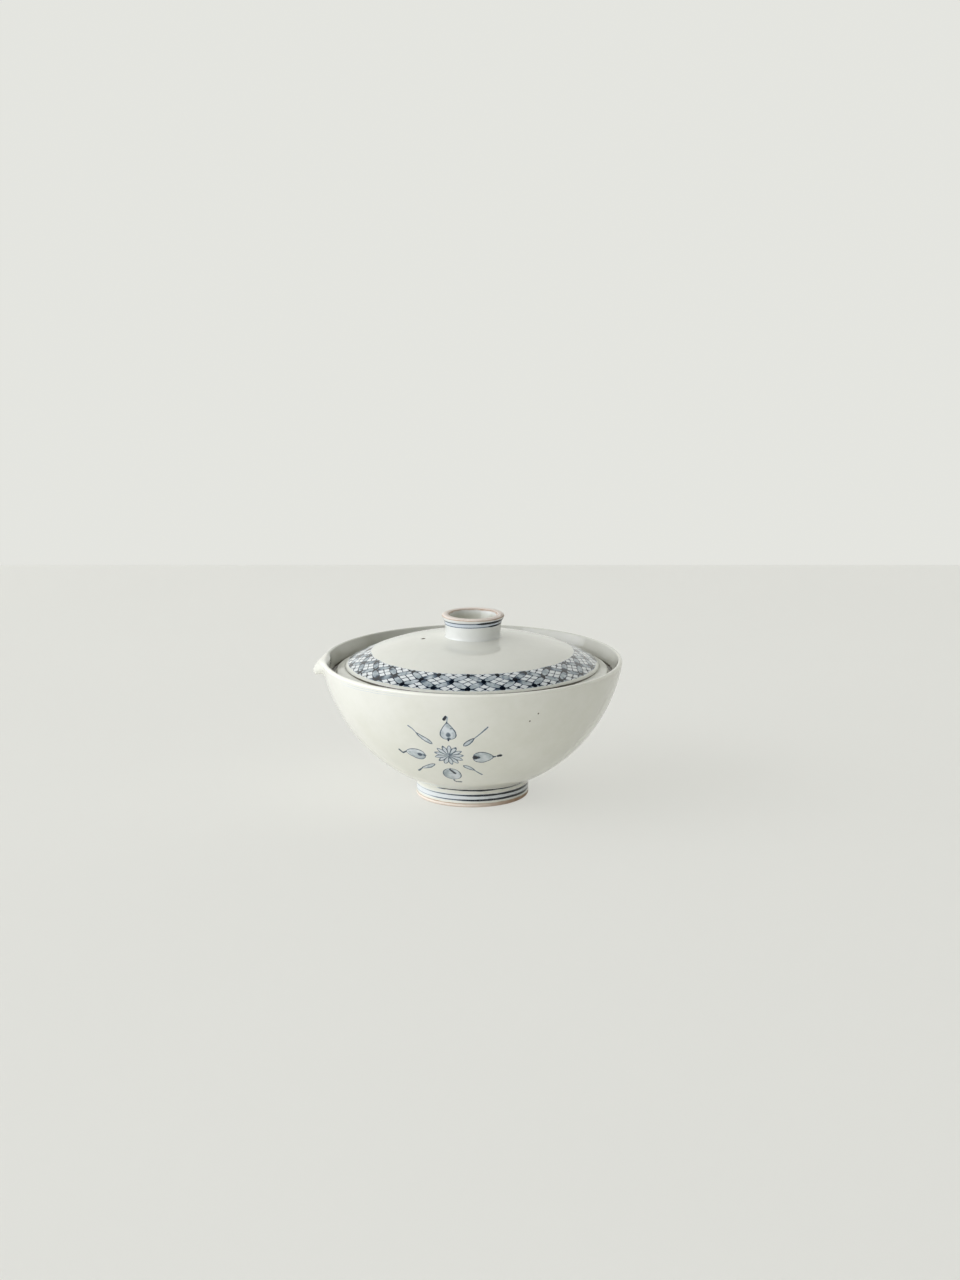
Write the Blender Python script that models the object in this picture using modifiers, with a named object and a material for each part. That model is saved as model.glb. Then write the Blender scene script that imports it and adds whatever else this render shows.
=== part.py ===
"""Lidded pouring bowl of glazed porcelain, made of five clay pieces.

A turned bowl stands on a foot ring and pours over a small lip. Its loose lid rests on a ledge inside the rim
and is lifted by a hollow ring knob. Sizes are in metres with +Z up. The foot stands on Z = 0 and the lip points
along -X. The origin is the middle of the bowl and its lip together, so the turning axis lies a little to +X of it.
"""

import math

import bmesh
import bpy
from mathutils import Matrix, Vector

OBJECT_NAME = "lidded_spouted_bowl"

# Bowl
RIM_RADIUS = 0.0599
RIM_HEIGHT = 0.0554
RIM_WALL = 0.0031
UPRIGHT_OVER_RIM = 0.0103  # the curve of the side would stand upright this far over the rim
SIDE_WALL = 0.0036  # at that upright level
FLOOR_WALL = 0.0042

# Seat of the lid, inside the rim
SEAT_DEPTH = 0.0064
SEAT_WALL = 0.0037
LEDGE_WIDTH = 0.0030
LEDGE_EDGE = 0.0014  # upright inner edge of the ledge
LEDGE_RUNOUT = 0.0028  # from that edge down to where the ledge fades into the side

# Foot ring
FOOT_RADIUS = 0.0225
FOOT_HEIGHT = 0.0070  # where its outside meets the bowl
FOOT_WALL = 0.0042
FOOT_RECESS = 0.0050  # depth of the hollow inside the ring
FOOT_EDGE = 0.0009  # rounding of the edges that it stands on

# Lid
LID_CLEARANCE = 0.0005  # all round, inside the seat
LID_BRIM = 0.0016  # flat margin outside the step
LID_BRIM_THICKNESS = 0.0021
LID_BRIM_EDGE = 0.0006
LID_STEP = 0.0010  # slanted step from the brim up to the fold where the dome starts
LID_RISE = 0.0125  # from the fold up to the crown
LID_UPRIGHT_BEYOND_FOLD = 0.0084  # the curve of the dome would stand upright this far outside the fold
LID_WALL = 0.0035

# Steam vent through the lid
VENT_DIAMETER = 0.0018
VENT_FROM_AXIS = 0.0194
VENT_ANGLE = math.radians(184.0)  # from +X, so it lies on the side of the lip
VENT_DRILL = 0.0105  # length of the drill, more than the wall is thick

# Ring knob
KNOB_RADIUS = 0.01225
KNOB_WAIST_RADIUS = 0.0107
KNOB_BASE_FLARE = 0.0005
KNOB_BASE_HEIGHT = 0.0010  # from the lid up to the waist
KNOB_RISE = 0.0086  # over the crown of the lid
KNOB_WALL = 0.0027

# Pouring lip, a tongue bent down over the rim
LIP_WIDTH = 0.0122
LIP_TIP_WIDTH = 0.0072
LIP_BEND = 0.0076
LIP_ROOT_ANGLE = math.radians(-3.0)  # from upright, at the inside of the wall
LIP_CREST_ANGLE = math.radians(13.5)  # where the tongue passes the crest of the rim
LIP_OVER_CREST = 0.0006  # how far its upper edges would stand over the crest if they weren't rounded
LIP_TIP_ANGLE = math.radians(92.0)
LIP_ROOT_UNDERBEND = 0.0014  # bend of the underside at the root
LIP_TIP_THICKNESS = 0.0016
LIP_TROUGH = 0.0010  # depth of the pouring channel

# Finishes, each a linear colour and a roughness
BOWL_GLAZE = ((0.78, 0.78, 0.72), 0.12)
FOOT_GLAZE = ((0.74, 0.72, 0.66), 0.16)
LID_GLAZE = ((0.76, 0.77, 0.73), 0.10)
KNOB_GLAZE = ((0.74, 0.73, 0.68), 0.14)

# Build
JOIN_GAP = 0.0003  # slip joint between luted pieces, and the lid's play on its seat
TURNING_STEPS = 64
MERGE_DISTANCE = 0.00001
LIP_SEGMENTS = 28
LIP_RINGS = 16
LIP_FULLNESS = 0.5  # 1 rounds the tongue like an egg, and less makes it squarer
VENT_SIDES = 24
CURVE_POINTS = 13
ROUND_POINTS = 7
EDGE_POINTS = 4


class Dome:
    """Half an ellipse about the axis, standing over its upright level (side 1) or hanging below it (side -1)."""

    def __init__(self, half_width, half_height, level, side):
        self.half_width = half_width
        self.half_height = half_height
        self.level = level
        self.side = side

    def height(self, radius):
        return self.level + self.side * self.half_height * math.sqrt(1.0 - (radius / self.half_width) ** 2)

    def radius(self, height):
        return self.half_width * math.sqrt(1.0 - ((height - self.level) / self.half_height) ** 2)

    def grown(self, by):
        return Dome(self.half_width + by, self.half_height + by, self.level, self.side)

    def lowered(self, by):
        return Dome(self.half_width, self.half_height, self.level - by, self.side)

    def run(self, start_radius, end_radius, count):
        """Points from one radius to another, spread evenly in the angle of the ellipse."""
        start = math.asin(start_radius / self.half_width)
        end = math.asin(end_radius / self.half_width)
        angles = [start + (end - start) * i / (count - 1) for i in range(count)]
        return [
            (self.half_width * math.sin(a), self.level + self.side * self.half_height * math.cos(a))
            for a in angles
        ]


def bowl_outside():
    """The side's curve, through the rim and through the top of the foot."""
    level = RIM_HEIGHT + UPRIGHT_OVER_RIM
    drop = (level - FOOT_HEIGHT) ** 2 - UPRIGHT_OVER_RIM**2
    steepness = (RIM_RADIUS**2 - FOOT_RADIUS**2) / drop
    half_width = math.sqrt(RIM_RADIUS**2 + steepness * UPRIGHT_OVER_RIM**2)
    return Dome(half_width, half_width / math.sqrt(steepness), level, -1)


def lid_top(fold_radius, fold_height):
    """The dome's curve, through the fold and up to the crown."""
    half_width = fold_radius + LID_UPRIGHT_BEYOND_FOLD
    share_at_fold = math.sqrt(1.0 - (fold_radius / half_width) ** 2)
    half_height = LID_RISE / (1.0 - share_at_fold)
    return Dome(half_width, half_height, fold_height - half_height * share_at_fold, 1)


# Sizes that follow from the ones above
OUTSIDE = bowl_outside()
INSIDE = Dome(
    OUTSIDE.half_width - SIDE_WALL, OUTSIDE.level - FOOT_RECESS - FLOOR_WALL, OUTSIDE.level, -1
)
CREST_HEIGHT = RIM_HEIGHT - RIM_WALL / 2
CREST_RADIUS = OUTSIDE.radius(CREST_HEIGHT) - RIM_WALL / 2
SEAT_HEIGHT = RIM_HEIGHT - SEAT_DEPTH
SEAT_RADIUS = OUTSIDE.radius(SEAT_HEIGHT) - SEAT_WALL
LEDGE_RADIUS = SEAT_RADIUS - LEDGE_WIDTH
FOOT_INNER_RADIUS = FOOT_RADIUS - FOOT_WALL
LID_RADIUS = SEAT_RADIUS - LID_CLEARANCE
LID_BOTTOM = SEAT_HEIGHT + JOIN_GAP
BRIM_TOP = LID_BOTTOM + LID_BRIM_THICKNESS
FOLD_RADIUS = LID_RADIUS - LID_BRIM - LID_STEP
LID_TOP = lid_top(FOLD_RADIUS, BRIM_TOP + LID_STEP)
CROWN_HEIGHT = LID_TOP.height(0.0)
LIP_CENTRE_RADIUS = CREST_RADIUS - LIP_BEND * math.sin(LIP_CREST_ANGLE)
LIP_CENTRE_HEIGHT = RIM_HEIGHT + LIP_OVER_CREST - LIP_BEND * math.cos(LIP_CREST_ANGLE)
LIP_REACH = LIP_CENTRE_RADIUS + LIP_BEND - LIP_TIP_THICKNESS / 2
AXIS_X = (LIP_REACH - OUTSIDE.radius(CREST_HEIGHT)) / 2


def arc(centre, radius, start, end, count):
    """Points on an arc in the profile's plane, with angles in degrees from the outward direction."""
    angles = [math.radians(start + (end - start) * i / (count - 1)) for i in range(count)]
    return [(centre[0] + radius * math.cos(a), centre[1] + radius * math.sin(a)) for a in angles]


def mix(first, last, share):
    return first + (last - first) * share


def glaze(name, colour, roughness):
    """A Principled material with one colour and roughness."""
    material = bpy.data.materials.new(name)
    material.use_nodes = True
    shader = material.node_tree.nodes["Principled BSDF"]
    shader.inputs["Base Color"].default_value = (*colour, 1.0)
    shader.inputs["Roughness"].default_value = roughness
    shader.inputs["Metallic"].default_value = 0.0
    return material


def add_object(name, mesh, collection, parent):
    """An object at its parent's origin on the turning axis, with heights given from the table."""
    piece = bpy.data.objects.new(name, mesh)
    collection.objects.link(piece)
    piece.parent = parent
    mesh.transform(Matrix.Translation((0.0, 0.0, -parent.location.z)))
    return piece


def turned(name, profile, collection, parent, closed=False):
    """A solid of revolution. The profile runs down its outer side, from the axis to the axis unless closed."""
    mesh = bpy.data.meshes.new(name)
    bm = bmesh.new()
    points = [bm.verts.new((radius, 0.0, height)) for radius, height in profile]
    for first, second in zip(points, points[1:]):
        bm.edges.new((first, second))
    if closed:
        bm.edges.new((points[-1], points[0]))
    bm.to_mesh(mesh)
    bm.free()
    piece = add_object(name, mesh, collection, parent)
    screw = piece.modifiers.new("turning", "SCREW")
    screw.axis = "Z"
    screw.steps = TURNING_STEPS
    screw.render_steps = TURNING_STEPS
    screw.use_merge_vertices = True
    screw.merge_threshold = MERGE_DISTANCE
    screw.use_smooth_shade = True
    return piece


def cut(piece, cutter, name):
    """Takes the cutter's space out of a piece."""
    boolean = piece.modifiers.new(name, "BOOLEAN")
    boolean.operation = "DIFFERENCE"
    boolean.solver = "EXACT"
    boolean.object = cutter


def hide_cutter(cutter):
    cutter.hide_render = True
    cutter.display_type = "WIRE"


def make_bowl(collection, parent):
    """The turned bowl, with its round rim and the ledge that the lid rests on."""
    side_start = INSIDE.radius(SEAT_HEIGHT - LEDGE_EDGE - LEDGE_RUNOUT)
    profile = INSIDE.run(0.0, side_start, CURVE_POINTS)
    profile += [(LEDGE_RADIUS, SEAT_HEIGHT - LEDGE_EDGE), (LEDGE_RADIUS, SEAT_HEIGHT)]
    profile += [(SEAT_RADIUS, SEAT_HEIGHT)]
    profile += arc((CREST_RADIUS, CREST_HEIGHT), RIM_WALL / 2, 180.0, 0.0, ROUND_POINTS)
    profile += OUTSIDE.run(OUTSIDE.radius(CREST_HEIGHT), OUTSIDE.radius(FOOT_RECESS), CURVE_POINTS)[1:]
    profile += [(0.0, FOOT_RECESS)]
    return turned("bowl_body", profile, collection, parent)


def make_foot(collection, parent):
    """The foot ring, whose top follows the bowl's underside across the slip joint."""
    underside = OUTSIDE.grown(JOIN_GAP)
    shares = [i / (EDGE_POINTS - 1) for i in range(EDGE_POINTS)]
    radii = [mix(FOOT_INNER_RADIUS, FOOT_RADIUS, share) for share in shares]
    top = [(radius, max(underside.height(radius), FOOT_RECESS - JOIN_GAP)) for radius in radii]
    profile = arc((FOOT_RADIUS - FOOT_EDGE, FOOT_EDGE), FOOT_EDGE, 0.0, -90.0, EDGE_POINTS)
    profile += arc((FOOT_INNER_RADIUS + FOOT_EDGE, FOOT_EDGE), FOOT_EDGE, -90.0, -180.0, EDGE_POINTS)
    profile += top
    return turned("foot_ring", profile, collection, parent, closed=True)


def lip_point(along, across, over, gap, headroom):
    """A point of the tongue, or of its seat in the rim, which lies a gap outside it and is open on top.

    along runs from -1 inside the wall to 1 at the tip, across from -1 to 1 over the width, and over from -1 below
    to 1 on top.
    """
    share = (along + 1.0) / 2
    angle = mix(LIP_ROOT_ANGLE, LIP_TIP_ANGLE, share) + along * gap / LIP_BEND
    underbend = mix(LIP_ROOT_UNDERBEND, LIP_BEND - LIP_TIP_THICKNESS, share)
    half_thickness = (LIP_BEND - underbend) / 2
    trough = LIP_TROUGH * (1.0 - across**2)
    rise = half_thickness + (headroom - trough if over > 0.0 else gap)
    bend = LIP_BEND - half_thickness + over * rise
    half_width = mix(LIP_WIDTH, LIP_TIP_WIDTH, share) / 2 + gap
    reach = LIP_CENTRE_RADIUS + bend * math.sin(angle)
    return Vector((-reach, -across * half_width, LIP_CENTRE_HEIGHT + bend * math.cos(angle)))


def make_tongue(name, gap, headroom, collection, parent):
    """A squared ball, bent down over the rim."""
    mesh = bpy.data.meshes.new(name)
    bm = bmesh.new()
    bmesh.ops.create_uvsphere(bm, u_segments=LIP_SEGMENTS, v_segments=LIP_RINGS, radius=1.0)
    for point in bm.verts:
        squared = [math.copysign(abs(c) ** LIP_FULLNESS, c) for c in point.co]
        point.co = lip_point(*squared, gap, headroom)
    bm.to_mesh(mesh)
    bm.free()
    mesh.shade_smooth()
    return add_object(name, mesh, collection, parent)


def make_lip(bowl, collection, cutters, parent):
    """The pouring lip, let into a cut through the rim across the slip joint."""
    seat = make_tongue("lip_seat", JOIN_GAP, LIP_TROUGH + RIM_WALL, cutters, parent)
    hide_cutter(seat)
    cut(bowl, seat, "lip_seat")
    return make_tongue("pouring_lip", 0.0, 0.0, collection, parent)


def make_lid(collection, cutters, parent):
    """The domed lid with its flat brim and its vent."""
    underside = LID_TOP.lowered(LID_WALL)
    brim_end = (LID_RADIUS - LID_BRIM_EDGE, BRIM_TOP - LID_BRIM_EDGE)
    brim_foot = (LID_RADIUS - LID_BRIM_EDGE, LID_BOTTOM + LID_BRIM_EDGE)
    profile = LID_TOP.run(0.0, FOLD_RADIUS, CURVE_POINTS)
    profile += [(FOLD_RADIUS + LID_STEP, BRIM_TOP)]
    profile += arc(brim_end, LID_BRIM_EDGE, 90.0, 0.0, EDGE_POINTS)
    profile += arc(brim_foot, LID_BRIM_EDGE, 0.0, -90.0, EDGE_POINTS)
    profile += underside.run(underside.radius(LID_BOTTOM), 0.0, CURVE_POINTS)
    lid = turned("lid_dome", profile, collection, parent)

    mesh = bpy.data.meshes.new("vent_drill")
    bm = bmesh.new()
    bmesh.ops.create_cone(
        bm,
        cap_ends=True,
        segments=VENT_SIDES,
        radius1=VENT_DIAMETER / 2,
        radius2=VENT_DIAMETER / 2,
        depth=VENT_DRILL,
    )
    bm.to_mesh(mesh)
    bm.free()
    way = Vector((math.cos(VENT_ANGLE), math.sin(VENT_ANGLE), 0.0))
    middle = Vector((0.0, 0.0, LID_TOP.height(VENT_FROM_AXIS) - LID_WALL / 2))
    mesh.transform(Matrix.Translation(VENT_FROM_AXIS * way + middle))
    drill = add_object("vent_drill", mesh, cutters, parent)
    hide_cutter(drill)
    cut(lid, drill, "vent")
    return lid


def make_knob(collection, parent):
    """The hollow ring knob, narrow at its waist, whose base follows the lid across the slip joint."""
    base = LID_TOP.grown(JOIN_GAP)
    lip_radius = KNOB_WALL / 2
    lip_centre = (KNOB_RADIUS - lip_radius, CROWN_HEIGHT + KNOB_RISE - lip_radius)
    base_radius = KNOB_WAIST_RADIUS + KNOB_BASE_FLARE
    hollow_radius = KNOB_WAIST_RADIUS - KNOB_WALL
    waist_height = base.height(KNOB_WAIST_RADIUS) + KNOB_BASE_HEIGHT
    profile = arc(lip_centre, lip_radius, 180.0, 0.0, ROUND_POINTS)
    for share in [i / (EDGE_POINTS - 1) for i in range(1, EDGE_POINTS)]:
        flare = (KNOB_RADIUS - KNOB_WAIST_RADIUS) * (1.0 - share) ** 2
        profile += [(KNOB_WAIST_RADIUS + flare, mix(lip_centre[1], waist_height, share))]
    profile += [(base_radius, base.height(base_radius)), (hollow_radius, base.height(hollow_radius))]
    return turned("knob_ring", profile, collection, parent, closed=True)


def new_collection(name):
    collection = bpy.data.collections.new(name)
    bpy.context.scene.collection.children.link(collection)
    return collection


def new_origin(name, height, collection):
    """An empty on the turning axis that carries the pieces of one body."""
    origin = bpy.data.objects.new(name, None)
    origin.location = (AXIS_X, 0.0, height)
    collection.objects.link(origin)
    return origin


def main():
    for old in list(bpy.data.objects):
        bpy.data.objects.remove(old, do_unlink=True)
    collection = new_collection(OBJECT_NAME)
    cutters = new_collection(OBJECT_NAME + "_cutters")
    bowl_origin = new_origin("bowl_origin", 0.0, collection)
    lid_origin = new_origin("lid_lift_axis", SEAT_HEIGHT, collection)

    bowl = make_bowl(collection, bowl_origin)
    pieces = {
        bowl: glaze("bowl_glaze", *BOWL_GLAZE),
        make_foot(collection, bowl_origin): glaze("foot_glaze", *FOOT_GLAZE),
        make_lip(bowl, collection, cutters, bowl_origin): glaze("lip_glaze", *BOWL_GLAZE),
        make_lid(collection, cutters, lid_origin): glaze("lid_glaze", *LID_GLAZE),
        make_knob(collection, lid_origin): glaze("knob_glaze", *KNOB_GLAZE),
    }
    for piece, material in pieces.items():
        piece.data.materials.append(material)


if __name__ == "__main__":
    main()
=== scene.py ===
"""Looks of a lidded pouring bowl in glazed porcelain with blue brushwork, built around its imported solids.

The frame is the solids' own: metres, +Z up, the foot ring on Z = 0 and the pouring lip towards -X. The
wares' sizes are in millimetres from the turning axis, which stands a little to +X of the frame's origin. In
the finishes, angles about that axis are in degrees from the front and grow to the right.
"""

import logging
import math
from dataclasses import dataclass, field
from enum import Enum

import bmesh
import bpy
import numpy as np
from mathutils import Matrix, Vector

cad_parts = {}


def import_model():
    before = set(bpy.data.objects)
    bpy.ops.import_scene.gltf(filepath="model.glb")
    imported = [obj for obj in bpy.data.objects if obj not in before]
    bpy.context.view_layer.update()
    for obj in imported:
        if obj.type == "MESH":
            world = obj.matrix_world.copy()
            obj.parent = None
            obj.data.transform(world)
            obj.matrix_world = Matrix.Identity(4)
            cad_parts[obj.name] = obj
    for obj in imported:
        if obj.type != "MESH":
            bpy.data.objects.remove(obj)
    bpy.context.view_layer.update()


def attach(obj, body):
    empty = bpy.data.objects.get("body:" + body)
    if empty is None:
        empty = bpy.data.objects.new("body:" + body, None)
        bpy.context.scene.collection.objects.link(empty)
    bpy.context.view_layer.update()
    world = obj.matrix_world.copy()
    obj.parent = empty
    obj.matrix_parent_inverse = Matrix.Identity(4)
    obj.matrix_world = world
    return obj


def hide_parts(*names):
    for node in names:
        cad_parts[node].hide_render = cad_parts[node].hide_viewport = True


LOG = logging.getLogger("pouring_bowl")

MM = 0.001
AXIS_X = 1.738  # from the frame's origin to the turning axis, in millimetres
KNOB_OFF_AXIS = 0.3  # how far to +X of the turning axis the knob was set, in millimetres
FULL_TURN = 2.0 * math.pi

Point = tuple[float, float]
Place = tuple[float, float, float]
Colour = tuple[float, float, float]
Sockets = tuple[tuple[str, str], ...]
Tree = bpy.types.NodeTree
Socket = bpy.types.NodeSocket
Node = bpy.types.ShaderNode
Material = bpy.types.Material
Piece = bpy.types.Object

UNTINTED: Colour = (1.0, 1.0, 1.0)


class Slot(Enum):
    """The record's material slots."""

    BOWL = "bowl_glaze"
    FOOT = "foot_glaze"
    LID = "lid_glaze"
    KNOB = "knob_glaze"


class Side(Enum):
    """Which half of an ellipse a dome is."""

    STANDING = 1.0
    HANGING = -1.0


# Values over a surface


class Field:
    """A value that changes over a surface, held as a socket of a node tree."""

    def __init__(self, tree: Tree, socket: Socket) -> None:
        """Keeps the tree and the socket."""
        self.tree = tree
        self.socket = socket

    def plug(self, target: Socket) -> None:
        """Links this value to an input."""
        self.tree.links.new(self.socket, target)

    def math(self, operation: str, *others: "Field | float") -> "Field":
        """Works out one step of arithmetic.

        Args:
            operation: Name of the Math node's operation.
            others: The further operands.

        Returns:
            The result.
        """
        node = self.tree.nodes.new("ShaderNodeMath")
        node.operation = operation
        for value, target in zip((self, *others), node.inputs):
            feed(value, target)
        return Field(self.tree, node.outputs[0])

    def __add__(self, other: "Field | float") -> "Field":
        """Sum."""
        return self.math("ADD", other)

    def __sub__(self, other: "Field | float") -> "Field":
        """Difference."""
        return self.math("SUBTRACT", other)

    def __mul__(self, other: "Field | float") -> "Field":
        """Product."""
        return self.math("MULTIPLY", other)

    def __truediv__(self, other: "Field | float") -> "Field":
        """Quotient."""
        return self.math("DIVIDE", other)

    def __rsub__(self, other: float) -> "Field":
        """Difference from a number."""
        return self * -1.0 + other

    def __abs__(self) -> "Field":
        """Size without sign."""
        return self.math("ABSOLUTE")

    __radd__ = __add__
    __rmul__ = __mul__

    def most(self, other: "Field | float") -> "Field":
        """The larger of two values."""
        return self.math("MAXIMUM", other)

    def least(self, other: "Field | float") -> "Field":
        """The smaller of two values."""
        return self.math("MINIMUM", other)

    def root(self) -> "Field":
        """Square root."""
        return self.math("SQRT")

    def folded(self, span: float) -> "Field":
        """Runs up to the span and back down again, over and over."""
        return self.math("PINGPONG", span)

    def rise(self, low: "Field | float", high: "Field | float") -> "Field":
        """Smooth step from 0 at low to 1 at high."""
        return self._step(low, high, 0.0, 1.0)

    def fall(self, low: "Field | float", high: "Field | float") -> "Field":
        """Smooth step from 1 at low to 0 at high."""
        return self._step(low, high, 1.0, 0.0)

    def _step(self, low: "Field | float", high: "Field | float", first: float, last: float) -> "Field":
        """Runs smoothly from one value to another.

        Args:
            low: Where the run starts.
            high: Where it ends.
            first: The result up to its start.
            last: The result from its end on.

        Returns:
            The result.
        """
        node = self.tree.nodes.new("ShaderNodeMapRange")
        node.interpolation_type = "SMOOTHSTEP"
        for value, target in zip((self, low, high, first, last), node.inputs):
            feed(value, target)
        return Field(self.tree, node.outputs[0])

    def parts(self) -> tuple["Field", "Field", "Field"]:
        """The three components of a vector.

        Returns:
            One value for each of them.
        """
        node = self.tree.nodes.new("ShaderNodeSeparateXYZ")
        self.plug(node.inputs[0])
        return tuple(Field(self.tree, out) for out in node.outputs)

    def vector(self, operation: str, other: "Field | Place") -> "Field":
        """Works out one step of vector arithmetic.

        Args:
            operation: Name of the Vector Math node's operation.
            other: The second operand.

        Returns:
            A vector, or a value for a dot product.
        """
        node = self.tree.nodes.new("ShaderNodeVectorMath")
        node.operation = operation
        self.plug(node.inputs[0])
        feed(other, node.inputs[1])
        return Field(self.tree, node.outputs["Value" if operation == "DOT_PRODUCT" else "Vector"])

    def tinted(self, share: "Field", tint: Colour) -> "Field":
        """This colour, with a tint over it where the share is 1."""
        return self.vector("MULTIPLY", blend(share, UNTINTED, tint))

    def noise(self, scale: float, detail: float = 2.0) -> "Field":
        """Soft noise from 0 to 1 at this place.

        Args:
            scale: Waves per millimetre.
            detail: How many finer layers lie on it.

        Returns:
            The noise.
        """
        node = self.tree.nodes.new("ShaderNodeTexNoise")
        self.plug(node.inputs["Vector"])
        node.inputs["Scale"].default_value = scale
        node.inputs["Detail"].default_value = detail
        return Field(self.tree, node.outputs[0])

    def sway(self, scale: float, reach: float, detail: float = 1.0) -> "Field":
        """Noise from minus to plus a reach."""
        return (self.noise(scale, detail) - 0.5) * (2.0 * reach)


Values = dict[str, Field]


def feed(value: Field | float | tuple[float, ...], target: Socket) -> None:
    """Links a field to an input, or writes a plain value on it.

    Args:
        value: The field or the plain value.
        target: The input.
    """
    if isinstance(value, Field):
        value.plug(target)
    else:
        target.default_value = value


def source(tree: Tree, kind: str, output: str) -> Field:
    """A value that a new input node gives."""
    return Field(tree, tree.nodes.new(kind).outputs[output])


def joined(*parts: Field) -> Field:
    """Puts values together into a vector.

    Args:
        parts: Up to three values. What is missing is 0.

    Returns:
        The vector.
    """
    tree = parts[0].tree
    node = tree.nodes.new("ShaderNodeCombineXYZ")
    for part, target in zip(parts, node.inputs):
        part.plug(target)
    return Field(tree, node.outputs[0])


def length(across: Field, along: Field) -> Field:
    """Distance from the corner of two values."""
    return (across * across + along * along).root()


def blend(factor: Field, first: Field | Colour, second: Field | Colour) -> Field:
    """Mixes two colours.

    Args:
        factor: Share of the second colour.
        first: Colour at 0.
        second: Colour at 1.

    Returns:
        The mixed colour.
    """
    node = factor.tree.nodes.new("ShaderNodeMix")
    node.data_type = "RGBA"
    factor.plug(node.inputs[0])
    for value, target in ((first, node.inputs[6]), (second, node.inputs[7])):
        feed(value if isinstance(value, Field) else (*value, 1.0), target)
    return Field(factor.tree, node.outputs[2])


@dataclass(frozen=True)
class Surface:
    """A point of a turned surface, by its place, its radius, its angle from the front and its height."""

    tree: Tree
    place: Field
    radius: Field
    angle: Field
    height: Field

    @property
    def nothing(self) -> Field:
        """A value of 0 all over."""
        return self.height * 0.0


# Effects that the finishes share


def sockets(floats: str = "", vectors: str = "", colours: str = "") -> Sockets:
    """Lists the sockets of a group.

    Args:
        floats: Names of those that hold a value, with commas between them.
        vectors: Names of those that hold a vector.
        colours: Names of those that hold a colour.

    Returns:
        The name and the kind of each.
    """
    named = (("Float", floats), ("Vector", vectors), ("Color", colours))
    return tuple((name, kind) for kind, names in named for name in names.split(", ") if name)


@dataclass(frozen=True)
class Effect:
    """A shader node group with named inputs and outputs, built once and placed in each finish."""

    name: str = ""
    takes: Sockets = ()
    gives: Sockets = ()

    def work(self, tree: Tree, given: Values) -> Values:
        """Builds the inside of the group.

        Args:
            tree: The group's own tree.
            given: Its inputs by name.

        Returns:
            Its outputs by name.
        """
        raise NotImplementedError

    def group(self) -> Tree:
        """The group, which is built on its first use.

        Returns:
            Its tree.
        """
        found = bpy.data.node_groups.get(self.name)
        if found:
            return found
        tree = bpy.data.node_groups.new(self.name, "ShaderNodeTree")
        for way, listed in (("INPUT", self.takes), ("OUTPUT", self.gives)):
            for label, kind in listed:
                tree.interface.new_socket(label, in_out=way, socket_type=f"NodeSocket{kind}")
        entry = tree.nodes.new("NodeGroupInput")
        leave = tree.nodes.new("NodeGroupOutput")
        made = self.work(tree, {label: Field(tree, entry.outputs[label]) for label, _ in self.takes})
        for label, value in made.items():
            value.plug(leave.inputs[label])
        return tree

    def place(self, tree: Tree, **given: Field | float | Place) -> Values:
        """Places the group in a tree.

        Args:
            tree: The tree of a finish or of another effect.
            given: Values of its inputs, by name with underscores for spaces.

        Returns:
            Its outputs by name.
        """
        node = tree.nodes.new("ShaderNodeGroup")
        node.node_tree = self.group()
        for label, value in given.items():
            feed(value, node.inputs[label.replace("_", " ")])
        return {label: Field(tree, node.outputs[label]) for label, _ in self.gives}


@dataclass(frozen=True)
class TurningPlace(Effect):
    """Where a point lies about the turning axis, in millimetres and in degrees from the front."""

    name: str = "turning_place"
    gives: Sockets = sockets("Radius, Angle, Height", "Place")

    def work(self, tree: Tree, given: Values) -> Values:
        """Builds the inside of the group.

        Args:
            tree: The group's own tree.
            given: Its inputs, of which it has none.

        Returns:
            Its outputs by name.
        """
        metres = source(tree, "ShaderNodeTexCoord", "Object")
        place = metres.vector("MULTIPLY", (1.0 / MM,) * 3).vector("SUBTRACT", (AXIS_X, 0.0, 0.0))
        across, along, height = place.parts()
        angle = across.math("ARCTAN2", along * -1.0) * math.degrees(1.0)
        return {"Place": place, "Radius": length(across, along), "Angle": angle, "Height": height}

    def at(self, tree: Tree) -> Surface:
        """The surface that a finish covers."""
        here = self.place(tree)
        return Surface(tree, here["Place"], here["Radius"], here["Angle"], here["Height"])


@dataclass(frozen=True)
class InkOnGlaze(Effect):
    """Cobalt ink that sank into the glaze.

    A breath of it turns the white bluish, and more of it lets less white back.
    """

    name: str = "ink_on_glaze"
    takes: Sockets = sockets("Ink", "Place", "Glaze")
    gives: Sockets = sockets(colours="Color")
    thin_wash: Colour = (0.985, 1.03, 1.15)
    thin_from: Point = (0.0, 0.016)
    thick_wash: Colour = (0.975, 1.03, 1.10)
    thick_from: Point = (0.05, 0.14)
    full_ink: Colour = (0.015, 0.025, 0.045)
    most_ink: float = 1.3
    mottle: float = 0.30

    def work(self, tree: Tree, given: Values) -> Values:
        """Builds the inside of the group.

        Args:
            tree: The group's own tree.
            given: Its inputs by name.

        Returns:
            Its outputs by name.
        """
        ink = given["Ink"]
        uneven = given["Place"].noise(0.8, 3.0) * (2.0 * self.mottle) + (1.0 - self.mottle)
        density = (ink * uneven).least(self.most_ink)
        bluish = blend(ink.rise(*self.thin_from), UNTINTED, self.thin_wash)
        bluish = blend(ink.rise(*self.thick_from), bluish, self.thick_wash)
        let_back = joined(*((density * math.log(share)).math("EXPONENT") for share in self.full_ink))
        return {"Color": given["Glaze"].vector("MULTIPLY", bluish.vector("MULTIPLY", let_back))}


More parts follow.
